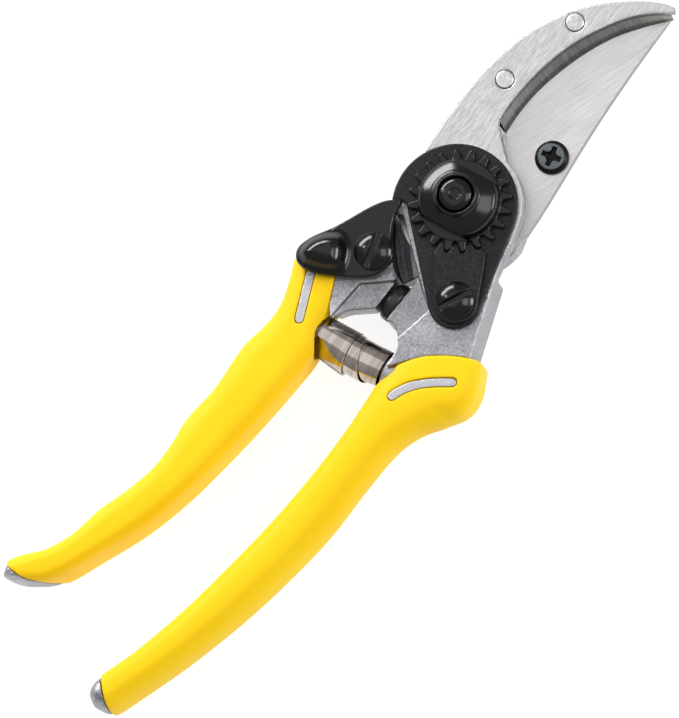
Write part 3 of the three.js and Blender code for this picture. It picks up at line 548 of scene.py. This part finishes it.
def cast_aluminium():
    """Fettled casting; the hook's flat face, ahead of the hub, is brushed."""
    n = Nodes("forged_aluminium")
    x, y, z = n.axes()
    grain = n.noise(1700, 4, 0.7)
    cloud = n.noise(150, 4, 0.6)
    colour = n.mix(n.span(cloud, 0, 1), (0.27, 0.27, 0.295, 1), (0.43, 0.43, 0.455, 1))
    colour = n.mix(n.span(grain, 0, 0.45, 0.48, 0.62), colour, (0.72, 0.72, 0.74, 1))
    pits = n.span(n.noise(1300, 4, 0.6), 0, 0.5, 0.50, 0.64)
    cast = n.mix(pits, colour, (0.17, 0.167, 0.18, 1))
    # The metal inside the grips, which their slots show, is brighter and has no dull skin.
    raw = n.math("MULTIPLY", n.fade(z, RAW_BELOW, 0.40, 0), n.fade(x, RAW_BEHIND, 1, 0))
    in_slot = n.math("MAXIMUM", n.fade(x, BLADE_SLOT_BEHIND, 0.7, 0),
                     n.fade(n.math("ADD", x, y), ANVIL_SLOT_BEHIND, 0.7, 0))
    in_slot = n.math("MULTIPLY", in_slot, n.fade(x, SLOTS_AHEAD))
    raw = n.math("SUBTRACT", raw, in_slot)
    cast = n.mix(n.math("MULTIPLY", raw, 0.7), cast, (0.17, 0.165, 0.178, 1))
    cast = n.mix(in_slot, cast, (0.62, 0.62, 0.66, 1))
    # Painted shade: the recess is darkened to near black, in streaks.
    across = n.towards(RECESS_ACROSS, x, y)
    along = n.towards((RECESS_ACROSS[1], -RECESS_ACROSS[0]), x, y)
    painted_recess_shade = n.math("MULTIPLY", n.window(across, *RECESS_SIDES), n.window(along, *RECESS_ENDS))
    shade_streak = n.noise(1, 3, 0.6, n.mapped(51, (150, 1500, 300)))
    cast = n.mix(n.math("MULTIPLY", painted_recess_shade, n.span(shade_streak, 0.95, 0.55)), cast, (0.03, 0.029, 0.031, 1))
    flat = n.math("MULTIPLY", n.fade(x, BRUSHED_AHEAD), n.fade(z, BRUSHED_ABOVE))
    streak = n.noise(1, 4, 0.7, n.mapped(4, (420, 3800, 300)))
    broad = n.noise(1, 3, 0.6, n.mapped(12, (260, 900, 100)))
    brushed = n.mix(n.span(streak, 0, 1), grey(0.33, 0.004), grey(0.80, 0.004))
    brushed = n.mix(n.span(broad, 0, 0.18), brushed, grey(0.37))
    brushed = n.mix(n.span(grain, 0, 0.30), brushed, grey(0.72))
    n.set(Base_Color=n.mix(flat, cast, brushed), Metallic=1.0,
          Roughness=n.math("ADD", n.span(grain, 0.27, 0.42), n.math("MULTIPLY", flat, 0.06)))
    cast_share = n.math("SUBTRACT", 1.0, flat)
    n.bump((n.math("MULTIPLY", grain, cast_share), 0.14),
           (n.math("MULTIPLY", cloud, cast_share), 0.20),
           (n.math("MULTIPLY", streak, flat), 0.012))
    return n.material


BLADE_BRIGHTENS = (2, 36)  # reach of x
# Painted shade on the blade's side walls fades out over this reach of the normal's z.
WALL_NORMALS = (0.30, 0.80)  # z of the normal, from a side wall to the flat


def ground_steel():
    """The blade: fine lines across its flat, duller towards the hub; painted shade darkens its side
    walls.
    """
    n = Nodes("ground_steel")
    x, _, _ = n.axes()
    fine = n.noise(1, 4, 0.7, n.mapped(-16, (120, 3600, 300)))
    scratch = n.noise(1, 3, 0.6, n.mapped(-12, (110, 2000, 200)))
    grain = n.noise(1600, 3, 0.6)
    bright = n.fade(x, BLADE_BRIGHTENS)
    dull = n.mix(n.span(fine, 0, 1), grey(0.42, 0.002), grey(0.60, 0.002))
    clean = n.mix(n.span(fine, 0, 1), grey(0.50, 0.016), grey(0.78, 0.016))
    colour = n.mix(bright, dull, clean)
    colour = n.mix(n.span(scratch, 0, 0.35, 0.50, 0.75), colour, grey(0.40, 0.01))
    colour = n.mix(n.span(grain, 0, 0.25), colour, grey(0.74, 0.01))
    # Painted shade: faces that turn sideways are darkened.
    _, _, facing = n.axes(n.add("ShaderNodeNewGeometry").outputs["True Normal"])
    painted_wall_shade = n.span(facing, 0.9, 0, *WALL_NORMALS)
    colour = n.mix(painted_wall_shade, colour, grey(0.26, 0.01))
    n.set(Base_Color=colour, Metallic=1.0, Roughness=n.span(fine, 0.28, 0.40))
    n.bump((fine, 0.006), (scratch, 0.005))
    return n.material


MOUTH_SHADE_FADES, ROOT_BRIGHTENS = (11.3, 11.7), (21, 34)  # reaches of height and of x


def dark_ground_steel():
    """The anvil blade: its mouth ground across the edge, with painted shade making it darker towards the
    shear edge.
    """
    n = Nodes("dark_ground_steel")
    x, _, z = n.axes()
    fine = n.noise(1, 3, 0.6, n.mapped(75, (300, 1800, 300)))
    # Painted shade: below this reach of height, towards the shear edge, the mouth is darker.
    upper = n.fade(z, MOUTH_SHADE_FADES)
    low = n.mix(n.span(fine, 0, 1), grey(0.12, 0.03), grey(0.20, 0.03))
    high = n.mix(n.span(fine, 0, 1), grey(0.23, 0.04), grey(0.37, 0.04))
    rooted = n.fade(x, ROOT_BRIGHTENS, 0.3, 0)
    high = n.mix(rooted, high, grey(0.62, 0.02))
    n.set(Base_Color=n.mix(upper, low, high), Metallic=1.0, Roughness=n.span(fine, 0.34, 0.46))
    n.bump((fine, 0.008))
    return n.material


def blackened(name, grainy, roughness):
    """Black-finished steel: `grainy` pressed plates, or smooth turned and moulded tops."""
    n = Nodes(name)
    grain = n.noise(1500, 4, 0.7)
    cloud = n.noise(160, 3)
    colour = n.mix(n.span(cloud, 0, 1), (0.0020, 0.0020, 0.0025, 1), (0.0044, 0.0042, 0.0055, 1))
    worn = n.span(n.noise(1700, 4, 0.7), 0, 0.6 * grainy, 0.50, 0.66)
    n.set(Base_Color=n.mix(worn, colour, (0.040, 0.040, 0.045, 1)), IOR=1.55,
          Roughness=n.span(grain, roughness - 0.04, roughness + 0.10 * (0.3 + grainy)),
          Specular_IOR_Level=0.33 - 0.06 * grainy)
    n.bump((grain, 0.004 + 0.075 * grainy), (cloud, 0.03))
    return n.material


def screw_head():
    """The blade screw: a slate-grey flat inside a black rim; the cross recess gets the same black as
    painted shade.
    """
    n = Nodes("blackened_screw")
    _, _, z = n.axes()
    grain = n.noise(1500, 3, 0.6)
    top = n.fade(z, (BLADE_TOP + 1.52, BLADE_TOP + 1.62))
    flat = n.mix(n.span(grain, 0, 1), (0.070, 0.082, 0.086, 1), (0.105, 0.122, 0.128, 1))
    # Below the flat, the rim and the cross recess are black with weaker reflection; in the recess this
    # is painted shade.
    n.set(Base_Color=n.mix(top, grey(0.003, -0.05), flat), Roughness=n.span(grain, 0.30, 0.42),
          IOR=1.5, Specular_IOR_Level=n.span(top, 0.18, 0.45, 0, 1))
    n.bump((grain, 0.015))
    return n.material


def bright_steel():
    n = Nodes("bright_steel")
    grain = n.noise(1400, 4, 0.6)
    colour = n.mix(n.span(grain, 0, 1), grey(0.48, 0.01), grey(0.76, 0.01))
    n.set(Base_Color=colour, Metallic=1.0, Roughness=n.span(n.noise(500, 2), 0.32, 0.44))
    n.bump((grain, 0.012))
    return n.material


def chrome_strip():
    n = Nodes("chrome_strip")
    roll = n.noise(1, 2, 0.5, n.mapped(99, (900, 60, 60)))
    colour = n.mix(n.span(roll, 0, 1), (0.40, 0.355, 0.32, 1), (0.60, 0.55, 0.505, 1))
    n.set(Base_Color=colour, Metallic=1.0, Roughness=n.span(n.noise(300, 2), 0.08, 0.15))
    n.bump((roll, 0.005))
    return n.material


def black_rubber():
    n = Nodes("black_rubber")
    grain = n.noise(1300, 3, 0.6)
    n.set(Base_Color=n.mix(n.span(n.noise(200, 2), 0, 1), grey(0.006), grey(0.012)),
          Roughness=n.span(grain, 0.24, 0.38), IOR=1.5, Specular_IOR_Level=0.6)
    n.bump((grain, 0.02))
    return n.material


LOOKS = {
    "forged_aluminium": cast_aluminium(),
    "ground_steel": ground_steel(),
    "dark_ground_steel": dark_ground_steel(),
    "blackened_steel": blackened("blackened_steel", 0.0, 0.17),
    "bright_steel": bright_steel(),
    "chrome_strip": chrome_strip(),
    "yellow_pvc": yellow_pvc(),
    "black_rubber": black_rubber(),
}
SCREW_HEAD = screw_head()
GRAINY_BLACK = blackened("blackened_plate", 1.0, 0.30)


def add_net(name, field, low, high, pitch, slot, body, nodes, look=None):
    """One object from a distance field; it has its slot's look unless another is given."""
    return add_mesh(name, [net(field, low, high, pitch)], look or LOOKS[slot], body, nodes)


# ---------------------------------------------------------------- handles


SQUARE_FROM, SQUARE_OVER = -40, 11  # the outer side grows square over this stretch of x


def bar(handle, inner_power, outer_power, front_power, tip, tip_r, inset=0.0):
    """The section of a handle swept along x: half superellipses on each side of the middle, squarer
    towards the front and rounded off at the end by the depth inside the end's outline."""
    outer, inner = edge(handle["outer"]), edge(handle["inner"])

    def field(g):
        x = g.x[:, 0, 0]
        a, b = outer(x), inner(x)
        middle = ((a + b) / 2)[:, None, None].astype(np.float32)
        half = np.maximum(np.abs(a - b) / 2 - EDGE_INSET - inset, 0.4)[:, None, None]
        half = half.astype(np.float32)
        tall = HANDLE_HALF - inset
        u = np.abs(g.y - middle) / half
        depth = -polygon(tip, g.x[:, :, 0], g.y[:, :, 0])[:, :, None] - inset
        share = np.clip((tip[:, 0].min() + 2.2 * tip_r - g.x) / (1.4 * tip_r), 0, 1)
        share = share * share * (3 - 2 * share)
        u = u * (1 - share) + np.maximum(1 - depth / tip_r, 0) * share
        towards = np.sign(outer(x) - inner(x))[:, None, None] * (g.y - middle)
        mixing = np.clip(0.5 + towards / (0.5 * half), 0, 1)
        mixing = mixing * mixing * (3 - 2 * mixing)
        ahead_share = np.clip((g.x - SQUARE_FROM) / SQUARE_OVER, 0, 1)
        outer_here = outer_power + (front_power - outer_power) * ahead_share
        power = inner_power + (outer_here - inner_power) * mixing
        w = np.abs(g.z - HANDLE_Z) / tall
        shape = (np.maximum(u, 1e-4) ** power + np.maximum(w, 1e-4) ** power) ** (1 / power)
        return (shape - 1) * np.minimum(half, tall)

    return field


def tip_outline(handle, count):
    """The outline of a handle's last stretch, closed across the handle."""
    outer = np.array(handle["outer"][:count])
    inner = np.array(handle["inner"][:count])
    return spline(np.vstack([outer[::-1], inner]), 8)


BLADE_TIP = tip_outline(BLADE_HANDLE, 7)
ANVIL_TIP = tip_outline(ANVIL_HANDLE, 7)


def blade_bar(inset=0.0):
    return bar(BLADE_HANDLE, 4.2, 2.6, 3.0, BLADE_TIP, 4.6, inset)


def anvil_bar(inset=0.0):
    return bar(ANVIL_HANDLE, 2.8, 2.4, 5.5, ANVIL_TIP, 4.8, inset)


BLADE_GRIP_FRONT = spline([(-43.5, 1.5), (-41.3, 4.0), (-38.5, 6.9), (-32.8, 10.5), (-31.3, 13.5),
                           (-31.8, 18), (-33, 26)])
ANVIL_GRIP_FRONT = spline([(-43.5, -11), (-40, -14.3), (-34, -18.3), (-31, -21), (-28.3, -24.2),
                           (-26.2, -27.3), (-23.6, -32)])
BLADE_RIB = [(-46.3, 9.5), (-36, 15.4), (-31, 18.3)]
ANVIL_RIB = [(-45, -20.1), (-42, -21), (-39, -22.7), (-36, -25.3), (-33, -28.6)]
BLADE_END = [(-137.2, 26), (-136.8, 20.6), (-136.2, 16), (-135.2, 13.4), (-132.6, 8)]
ANVIL_END = [(-138.6, -11), (-140.2, -14.2), (-142.4, -17.4), (-144.6, -20.6), (-146.2, -24)]
BLADE_END_LEAN = 0.3  # how far the blade handle's end line leans forward per millimetre of depth


def ahead(front, far_y, clear):
    """Everything ahead of a grip's front, as an outline."""
    line = front - [clear, 0]
    return plan(np.vstack([line, [(30, line[-1, 1]), (30, far_y), (line[0, 0], far_y)]]))


def behind(end, clear_x, clear_y, lean=0.0):
    """Everything past the line where a grip ends; the line may lean forward with depth."""
    line = spline(end) + [clear_x, clear_y]
    points = np.vstack([line, [(-160, line[-1, 1]), (-160, line[0, 1])]])

    def field(g):
        shift = lean * (HANDLE_Z + HANDLE_HALF - g.z)
        return polygon(points, g.x - shift, g.y + 0 * g.z)

    return field


SPRING_LENGTH = np.linalg.norm(SPRING_ENDS[1] - SPRING_ENDS[0])
SPRING_AXIS = (SPRING_ENDS[1] - SPRING_ENDS[0]) / SPRING_LENGTH
AWAY = np.array([-SPRING_AXIS[1], SPRING_AXIS[0]])  # from the pivot, across the spring


def swell(along):
    """How much larger the coil is at a place, and how far its middle moves away from the pivot."""
    return SWELL_RISE * max(1 - ((along - SWELL_PEAK) / SWELL_REACH) ** 2, 0)


def spring_well(end, towards):
    depth = SEAT_DEPTH + 0.5
    start = end - SPRING_AXIS * towards * depth
    r = SPRING_R + 0.6
    return turned_along([(0, 0), (r, 0), (r, depth + 3), (0, depth + 3)], start, SPRING_AXIS * towards)


SEAM = 0.12  # the gap round what shows through a grip


def grip(whole, core, front, end, rib, well):
    slot = plan(band(rib, RIB_WIDTH + 2 * SEAM))

    def slot_cut(g):
        return np.maximum(slot(g), HANDLE_Z - g.z)

    body = cut(whole, front, k=0.4)
    body = cut(body, end, slot_cut, k=0.3)
    return cut(cut(body, well, k=0.5), core)


add_net("blade_grip_sleeve",
        grip(blade_bar(), blade_bar(GRIP_SKIN - FIT_GAP), ahead(BLADE_GRIP_FRONT, -8, SEAM),
             behind(BLADE_END, SEAM, SEAM, BLADE_END_LEAN), BLADE_RIB, spring_well(SPRING_ENDS[1], -1)),
        (-141, -1.5, 0.5), (-29, 26, 17.3), 0.36, "yellow_pvc", "blade_handle", ["blade_handle_grip"])
add_net("anvil_grip_sleeve",
        grip(anvil_bar(), anvil_bar(GRIP_SKIN - FIT_GAP), ahead(ANVIL_GRIP_FRONT, 5, SEAM),
             behind(ANVIL_END, SEAM, -SEAM), ANVIL_RIB, spring_well(SPRING_ENDS[0], 1)),
        (-149, -37, 0.5), (-22, -10, 17.3), 0.36, "yellow_pvc", "anvil_handle", ["anvil_handle_grip"])


def within(a, b, k=0.4):
    """What two fields have in common."""
    return lambda g: -smooth_min(-a(g), -b(g), k)


blade_end_shell = net(within(blade_bar(TIP_INSET), behind(BLADE_END, 0, 0, BLADE_END_LEAN)),
                      (-141, 6, 0.5), (-127, 25, 17.3), 0.25)
anvil_end_shell = net(within(anvil_bar(TIP_INSET), behind(ANVIL_END, 0, 0)), (-149, -26, 0.5),
                      (-135, -11, 17.3), 0.25)
blade_core_shell = net(blade_bar(GRIP_SKIN), (-141, -1, 2), (-40, 26, 16), 0.8)
anvil_core_shell = net(anvil_bar(GRIP_SKIN), (-149, -37, 2), (-40, -10, 16), 0.8)

add_mesh("blade_handle_forging",
         [cast_copy("blade_handle_frame", 0.24, 2, keep=-70), blade_end_shell, blade_core_shell],
         LOOKS["forged_aluminium"], "blade_handle", ["blade_handle_frame"])
add_mesh("anvil_handle_forging",
         [cast_copy("anvil_handle_frame", 0.24, 2, keep=-70), anvil_end_shell, anvil_core_shell],
         LOOKS["forged_aluminium"], "anvil_handle", ["anvil_handle_frame"])

# ---------------------------------------------------------------- blades

ANVIL_ROOT_X, ROOT_PRESS = 20.6, 0.35

crisp_copy("cutting_blade_steel", "cutting_blade", LOOKS["ground_steel"], 0.14, "blade_handle")
anvil_steel = crisp_copy("anvil_blade_steel", "anvil_blade", LOOKS["dark_ground_steel"], 0.08,
                         "anvil_handle")
for corner in anvil_steel.data.vertices:  # the root end is moved back towards the hook's wall
    if corner.co.x < ANVIL_ROOT_X * MM:
        corner.co.x -= ROOT_PRESS * MM
for key, place in RIVETS.items():
    profile = [(0, ANVIL_BOTTOM), (RIVET_R, ANVIL_BOTTOM), (RIVET_R, FRAME_TOP - 0.05),
               (RIVET_R - 0.08, FRAME_TOP + 0.06), (RIVET_R - 0.25, FRAME_TOP + 0.12),
               (1.2, FRAME_TOP + 0.16), (0, FRAME_TOP + 0.17)]
    add_mesh(f"rivet_{key}", [lathe(profile, place, 64)], LOOKS["bright_steel"], "anvil_handle",
             [f"anvil_rivet_{key}"], sharp=40)

# ---------------------------------------------------------------- pivot group

cover = np.vstack([arc((-18.6, -15.8), 6.4, 146, 292), arc((-1.6, 0.4), 15.2, -68, 126),
                   [(-9.1, 10.9), (-9.0, 9.4)]])
add_net("cover_plate_pressed",
        cut(slab(cover, FRAME_TOP, PLATE_TOP, 0.4), hole((0, 0), BOLT_R + FIT_GAP),
            hole(SEGMENT_SCREW, SCREW_SHANK_R + FIT_GAP)),
        (-26, -23, 14.9), (15, 17, 16.9), 0.2, "blackened_steel", "anvil_handle", ["cover_plate"],
        GRAINY_BLACK)


def toothed(clear):
    per_tooth = 16
    i = np.arange(TEETH * per_tooth)
    wave = np.cos(2 * np.pi * i / per_tooth)
    middle, swing = (TOOTH_TIP_R + TOOTH_ROOT_R) / 2, (TOOTH_TIP_R - TOOTH_ROOT_R) / 2
    r = middle + swing * np.sign(wave) * np.abs(wave) ** 0.5 + clear
    a = np.radians(TOOTH_PHASE) + 2 * np.pi * i / (TEETH * per_tooth)
    return np.stack([r * np.cos(a), r * np.sin(a)], 1)


dome = turned([(0, PLATE_TOP), (9.8, PLATE_TOP), (9.8, 18.9), (9.75, 19.6), (9.55, 20.3),
               (9.25, 20.85), (8.8, 21.25), (8.2, 21.57), (7.4, 21.95), (6.6, 22.31), (5.85, 22.6),
               (5.45, 22.85), (5.2, 23.3), (5.1, 23.9), (4.95, 24.12), (4.75, NUT_TOP), (4.55, 24.12),
               (4.4, 23.9), (4.3, 23.4), (4.3, 22.0), (0, 22.0)])


def nut_flats(g):
    """The wrench flats on the dome, above the toothed flange."""
    out = None
    for heading, distance in NUT_FLATS:
        a = math.radians(heading)
        beyond = distance - g.x * math.cos(a) - g.y * math.sin(a)
        out = beyond if out is None else np.minimum(out, beyond)
    return np.maximum(out, FLANGE_TOP + 0.15 - g.z)


add_net("adjusting_nut",
        cut(join(slab(toothed(0), PLATE_TOP + 0.02, FLANGE_TOP, 0.42), cut(dome, nut_flats), k=0.4),
            bore((0, 0), BOLT_R + FIT_GAP)),
        (-13.2, -13.2, 16.1), (13.2, 13.2, 24.6), 0.15, "blackened_steel", "anvil_handle", ["pivot_nut"])
bolt = [(0, 0), (HEAD_R - 0.7, 0), (HEAD_R - 0.25, 0.15), (HEAD_R, 0.6), (HEAD_R, HEAD_TOP - 0.2),
        (HEAD_R - 0.2, HEAD_TOP), (BOLT_R, HEAD_TOP), (BOLT_R, 23.75), (3.97, 23.95), (3.85, 24.15),
        (3.5, 24.42), (3.0, 24.64), (2.5, 24.78), (2.0, 24.86), (1.7, 24.84), (1.4, 24.7),
        (1.0, 24.56), (0.5, 24.5), (0, 24.48)]
add_mesh("pivot_bolt_turned", [lathe(bolt)], LOOKS["blackened_steel"], "anvil_handle",
         ["pivot_bolt"], sharp=35)

segment = np.vstack([arc(SEGMENT_SCREW, 5.4, 140, 292), [(-8.4, -16.0), (-5.2, -13.6)],
                     arc((0, 0), 11.0, 247, 200), [(-13.3, -4.1)]])
add_net("lock_segment_pressed",
        cut(slab(segment, PLATE_TOP + 0.02, FLANGE_TOP, 0.3), plan(toothed(FIT_GAP)),
            hole(SEGMENT_SCREW, SCREW_SHANK_R + FIT_GAP), k=0.3),
        (-24.5, -22.5, 16.2), (-3, -2, 18.3), 0.15, "blackened_steel", "anvil_handle", ["lock_segment"],
        GRAINY_BLACK)


def slotted_screw(name, place, seat, heading, body, node):
    r, rise, crown_rise = SCREW_HEAD_R, 2.5, 1.7
    dome_r = (r * r + crown_rise * crown_rise) / (2 * crown_rise)
    a = np.linspace(math.asin((r - 0.15) / dome_r), 0, 14)
    crown = [(dome_r * math.sin(t), seat + rise - dome_r * (1 - math.cos(t))) for t in a]
    profile = [(0, 8), (SCREW_SHANK_R, 8), (SCREW_SHANK_R, seat), (r - 0.1, seat), (r, seat + 0.15),
               (r, seat + rise - 1.75), *crown]
    field = cut(turned(profile, place),
                block((*place, seat + rise), (3 * r, SLOT_WIDTH / 2, SLOT_DEPTH), heading, 0.12), k=0.12)
    low = (place[0] - r - 0.6, place[1] - r - 0.6, 7.5)
    high = (place[0] + r + 0.6, place[1] + r + 0.6, seat + rise + 0.6)
    return add_net(name, field, low, high, 0.14, "blackened_steel", body, [node])


slotted_screw("segment_screw_domed", SEGMENT_SCREW, FLANGE_TOP, -19, "anvil_handle", "segment_screw")
slotted_screw("catch_screw_domed", CATCH_PIVOT, CATCH_TOP + 0.05, 22, "blade_handle", "catch_screw")


def cross_screw():
    (x, y), r, top = BLADE_SCREW, BLADE_SCREW_HEAD_R, BLADE_TOP
    head = turned([(0, 5), (2, 5), (2, top), (r - 0.1, top), (r, top + 0.15), (r, top + 0.75),
                   (r - 0.3, top + 1.15), (r - 0.75, top + 1.5), (r - 1.1, top + 1.62),
                   (1.5, top + 1.85), (0, top + 1.9)], BLADE_SCREW)
    recess = turned([(0, top + 0.3), (1.0, top + 0.5), (1.5, top + 2.3), (0, top + 2.3)], BLADE_SCREW)
    arms = [block((x, y, top + 1.95), (2.45, 0.62, 1.5), heading, 0.1) for heading in (20, 110)]
    add_net("blade_screw_cross", cut(head, recess, *arms, k=0.2),
            (x - r - 0.5, y - r - 0.5, 4.5), (x + r + 0.5, y + r + 0.5, top + 2.4), 0.11,
            "blackened_steel", "blade_handle", ["blade_screw"], SCREW_HEAD)


cross_screw()

# ---------------------------------------------------------------- catch and bumper

CATCH_PLAN = spline([(-9.0, 10.5), (-10.2, 11.8), (-12.4, 13.6), (-16, 15.2), (-21, 16.8),
                     (-26, 18.5), (-31, 20.4), (-34, 20.9), (-36.2, 19.5), (-36.7, 17.0),
                     (-35.4, 13.2), (-32.4, 8.6), (-29.2, 4.6), (-26.6, 2.5), (-23.4, 1.7),
                     (-20.6, 2.3), (-18.6, 4.6), (-16.2, 7.0), (-13, 8.9), (-10, 9.8), (-9.0, 10.5)], 6)
KNOB_PLAN = spline([(-35.9, 17.0), (-35.3, 19.1), (-33.6, 20.1), (-30.6, 19.9), (-27.8, 18.5),
                    (-25.5, 16.2), (-25.2, 14.2), (-26.9, 11.7), (-29.6, 9.9), (-31.6, 9.9),
                    (-34.2, 13.2), (-35.9, 17.0)], 6)
catch_under = block((-30, 14, CATCH_BOTTOM - 5), (20, 20, 5), 0, 0.1)
add_net("thumb_catch_shaped",
        cut(join(slab(CATCH_PLAN[:-1], CATCH_BOTTOM, CATCH_TOP, 0.55),
                 slab(KNOB_PLAN[:-1], CATCH_BOTTOM - 3, KNOB_TOP, 4.4), k=2.2),
            catch_under, bore(CATCH_PIVOT, SCREW_SHANK_R + RUN_GAP)),
        (-38, 0.8, 16.0), (-8, 22.2, 23.0), 0.17, "blackened_steel", "thumb_catch", ["thumb_catch"])


def bumper():
    r, length, tilt = BUMPER_R, BUMPER_LENGTH, math.radians(BUMPER_TILT)
    profile = [(0, 0), (r - 1.6, 0), (r - 0.8, 0.15), (r - 0.25, 0.6), (r, 1.4), (r, length - 0.8),
               (r - 0.2, length - 0.3), (r - 0.5, length), (2.0, length), (2.0, length + 2.6),
               (0, length + 2.6)]
    field = turned_along(profile, BUMPER_FACE, (math.sin(tilt), -math.cos(tilt)))
    add_net("bumper_moulded", field, (-34, -9.5, 3.5), (-21, -0.8, 14.3), 0.2, "black_rubber",
            "anvil_handle", ["rubber_bumper"])


bumper()

# ---------------------------------------------------------------- spring


def strip_spring():
    """One strip wound into a cone, each turn partly inside the one before it. Weights that follow the
    strip's edge are worked out for each vertex, but nothing uses them."""
    steps = int(STRIP_TURNS * 72)
    centre = SPRING_ENDS.mean(0)
    strip_edge = edge(STRIP_EDGE)
    t, e = STRIP_THICK, 0.09
    vertices, weights = [], []
    for k in range(steps + 1):
        u = (k / steps - 0.5) * STRIP_TURNS
        outer_r = SPRING_R - STRIP_STEP_IN * (u + STRIP_TURNS / 2)
        phi = 2 * math.pi * (0.25 - u)
        far = min(float(strip_edge(u)), STRIP_EDGE[-1][1])
        near = far - STRIP_WIDTH
        for r, along in ((-t, near + e), (-t, far - e), (-t + e, far), (-e, far), (0, far - e),
                         (0, near + e), (-e, near), (-t + e, near)):
            here = outer_r + r + swell(along)
            place = centre - SPRING_AXIS * along + AWAY * (here * math.cos(phi) + swell(along))
            vertices.append((place[0], place[1], HANDLE_Z + here * math.sin(phi)))
            weights.append(1 - (far - STRIP_EDGE[0][1]) / (STRIP_EDGE[-1][1] - STRIP_EDGE[0][1]))
    n = len(vertices) // (steps + 1)
    faces = [tuple(range(n)), tuple(range(steps * n + n - 1, steps * n - 1, -1))]
    for k in range(steps):
        for i in range(n):
            j = (i + 1) % n
            faces.append((k * n + i, (k + 1) * n + i, (k + 1) * n + j, k * n + j))
    spring = add_mesh("volute_strip", [(vertices, faces)], LOOKS["chrome_strip"], None,
                      ["volute_spring"], sharp=40)
    bm = bmesh.new()
    bm.from_mesh(spring.data)
    bmesh.ops.recalc_face_normals(bm, faces=bm.faces)
    bm.to_mesh(spring.data)
    bm.free()
    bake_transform(spring)


strip_spring()

# ---------------------------------------------------------------- CAD nodes that stay

for node in ("pivot_bush", "friction_washer", "catch_washer"):
    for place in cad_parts[node].material_slots:
        place.material = LOOKS["bright_steel"]

# ---------------------------------------------------------------- stage, light and camera


FLOOR_GLOW = 0.86  # the floor gives off light, so the object's shadow stays faint
FLOOR_SIZE, FLOOR_DROP = 6, 0.0002  # metres; it lies just below the object
SKY_LOW, SKY_HIGH = 0.33, 0.50  # strength at the horizon and overhead
SKY_RISE = 0.9  # Z of the direction from which the sky is at its strongest
STUDIO_MIDDLE = Vector((-0.04, -0.005, 0.01))  # what the lights face, in metres


def floor_material():
    n = Nodes("studio_floor")
    n.set(Base_Color=n.mix(n.span(n.noise(6, 2), 0, 1), grey(0.24), grey(0.27)), Roughness=0.85,
          Specular_IOR_Level=0.1, Emission_Color=grey(1.0), Emission_Strength=FLOOR_GLOW)
    return n.material


bpy.ops.mesh.primitive_plane_add(size=FLOOR_SIZE, location=(STUDIO_MIDDLE.x, 0, -FLOOR_DROP))
floor = bpy.context.object
floor.name = "studio_floor"
floor.data.materials.append(floor_material())


def studio_sky():
    """A grey sky, brighter overhead. The camera sees it pale, a little darker than the floor."""
    world = bpy.data.worlds.new("studio")
    world.use_nodes = True
    bpy.context.scene.world = world
    nodes, link = world.node_tree.nodes, world.node_tree.links.new
    height, strength = nodes.new("ShaderNodeSeparateXYZ"), nodes.new("ShaderNodeMapRange")
    link(nodes.new("ShaderNodeTexCoord").outputs["Generated"], height.inputs[0])
    link(height.outputs["Z"], strength.inputs["Value"])
    for key, number in (("From Min", 0), ("From Max", SKY_RISE), ("To Min", SKY_LOW),
                        ("To Max", SKY_HIGH)):
        strength.inputs[key].default_value = number
    seen = nodes.new("ShaderNodeMath")
    seen.operation = "MAXIMUM"
    link(strength.outputs["Result"], seen.inputs[0])
    link(nodes.new("ShaderNodeLightPath").outputs["Is Camera Ray"], seen.inputs[1])
    nodes["Background"].inputs["Color"].default_value = (0.93, 0.93, 0.93, 1)
    link(seen.outputs[0], nodes["Background"].inputs["Strength"])


studio_sky()


def softbox(name, azimuth, elevation, distance, size, power):
    """An area light that faces the object: metres and watts; azimuth 0 is +X and 90 is +Y."""
    light = bpy.data.lights.new(name, "AREA")
    light.shape, light.size, light.size_y, light.energy = "RECTANGLE", size[0], size[1], power
    lamp = bpy.data.objects.new(name, light)
    a, e = math.radians(azimuth), math.radians(elevation)
    direction = Vector((math.cos(a) * math.cos(e), math.sin(a) * math.cos(e), math.sin(e)))
    lamp.location = STUDIO_MIDDLE + direction * distance
    lamp.rotation_euler = direction.to_track_quat("Z", "Y").to_euler()
    lamp.visible_camera = False
    bpy.context.scene.collection.objects.link(lamp)


softbox("key", 80, 25, 1.3, (1.0, 0.24), 14)
softbox("side", -42, 26, 1.3, (0.5, 0.3), 6.0)
softbox("front", -44, 54, 1.4, (0.6, 0.5), 3.6)
softbox("spark", 100, 42, 1.5, (0.12, 0.12), 1.4)
softbox("top", 85, 74, 1.6, (1.6, 1.6), 4.8)

# The photograph's viewing angle: the direction to the camera and the heading of +X in the picture.
VIEW_AZIMUTH, VIEW_ELEVATION, X_HEADING = -7, 74, 47
AIM = Vector((-46.676, -3.104, 10.975))  # the place in the middle of the picture
VIEW_LENGTH = 170.546  # what the picture's longer side shows there
LENS, SENSOR = 300, 36


def photo_camera():
    a, e = math.radians(VIEW_AZIMUTH), math.radians(VIEW_ELEVATION)
    back = Vector((math.sin(a) * math.cos(e), -math.cos(a) * math.cos(e), math.sin(e)))
    flat_right = Vector((0, 0, 1)).cross(back).normalized()
    flat_up = back.cross(flat_right)
    roll = math.radians(X_HEADING) - math.atan2(flat_up.x, flat_right.x)
    right = flat_right * math.cos(roll) - flat_up * math.sin(roll)
    up = flat_right * math.sin(roll) + flat_up * math.cos(roll)
    distance = VIEW_LENGTH / SENSOR * LENS
    data = bpy.data.cameras.new("photo_camera")
    data.lens, data.sensor_width = LENS, SENSOR
    data.clip_start, data.clip_end = 0.05, 20
    camera = bpy.data.objects.new("photo_camera", data)
    turn = Matrix((right, up, back)).transposed().to_4x4()
    camera.matrix_world = Matrix.Translation((AIM + back * distance) * MM) @ turn
    bpy.context.scene.collection.objects.link(camera)
    bpy.context.scene.camera = camera


photo_camera()
bpy.context.scene.view_settings.view_transform = "Standard"
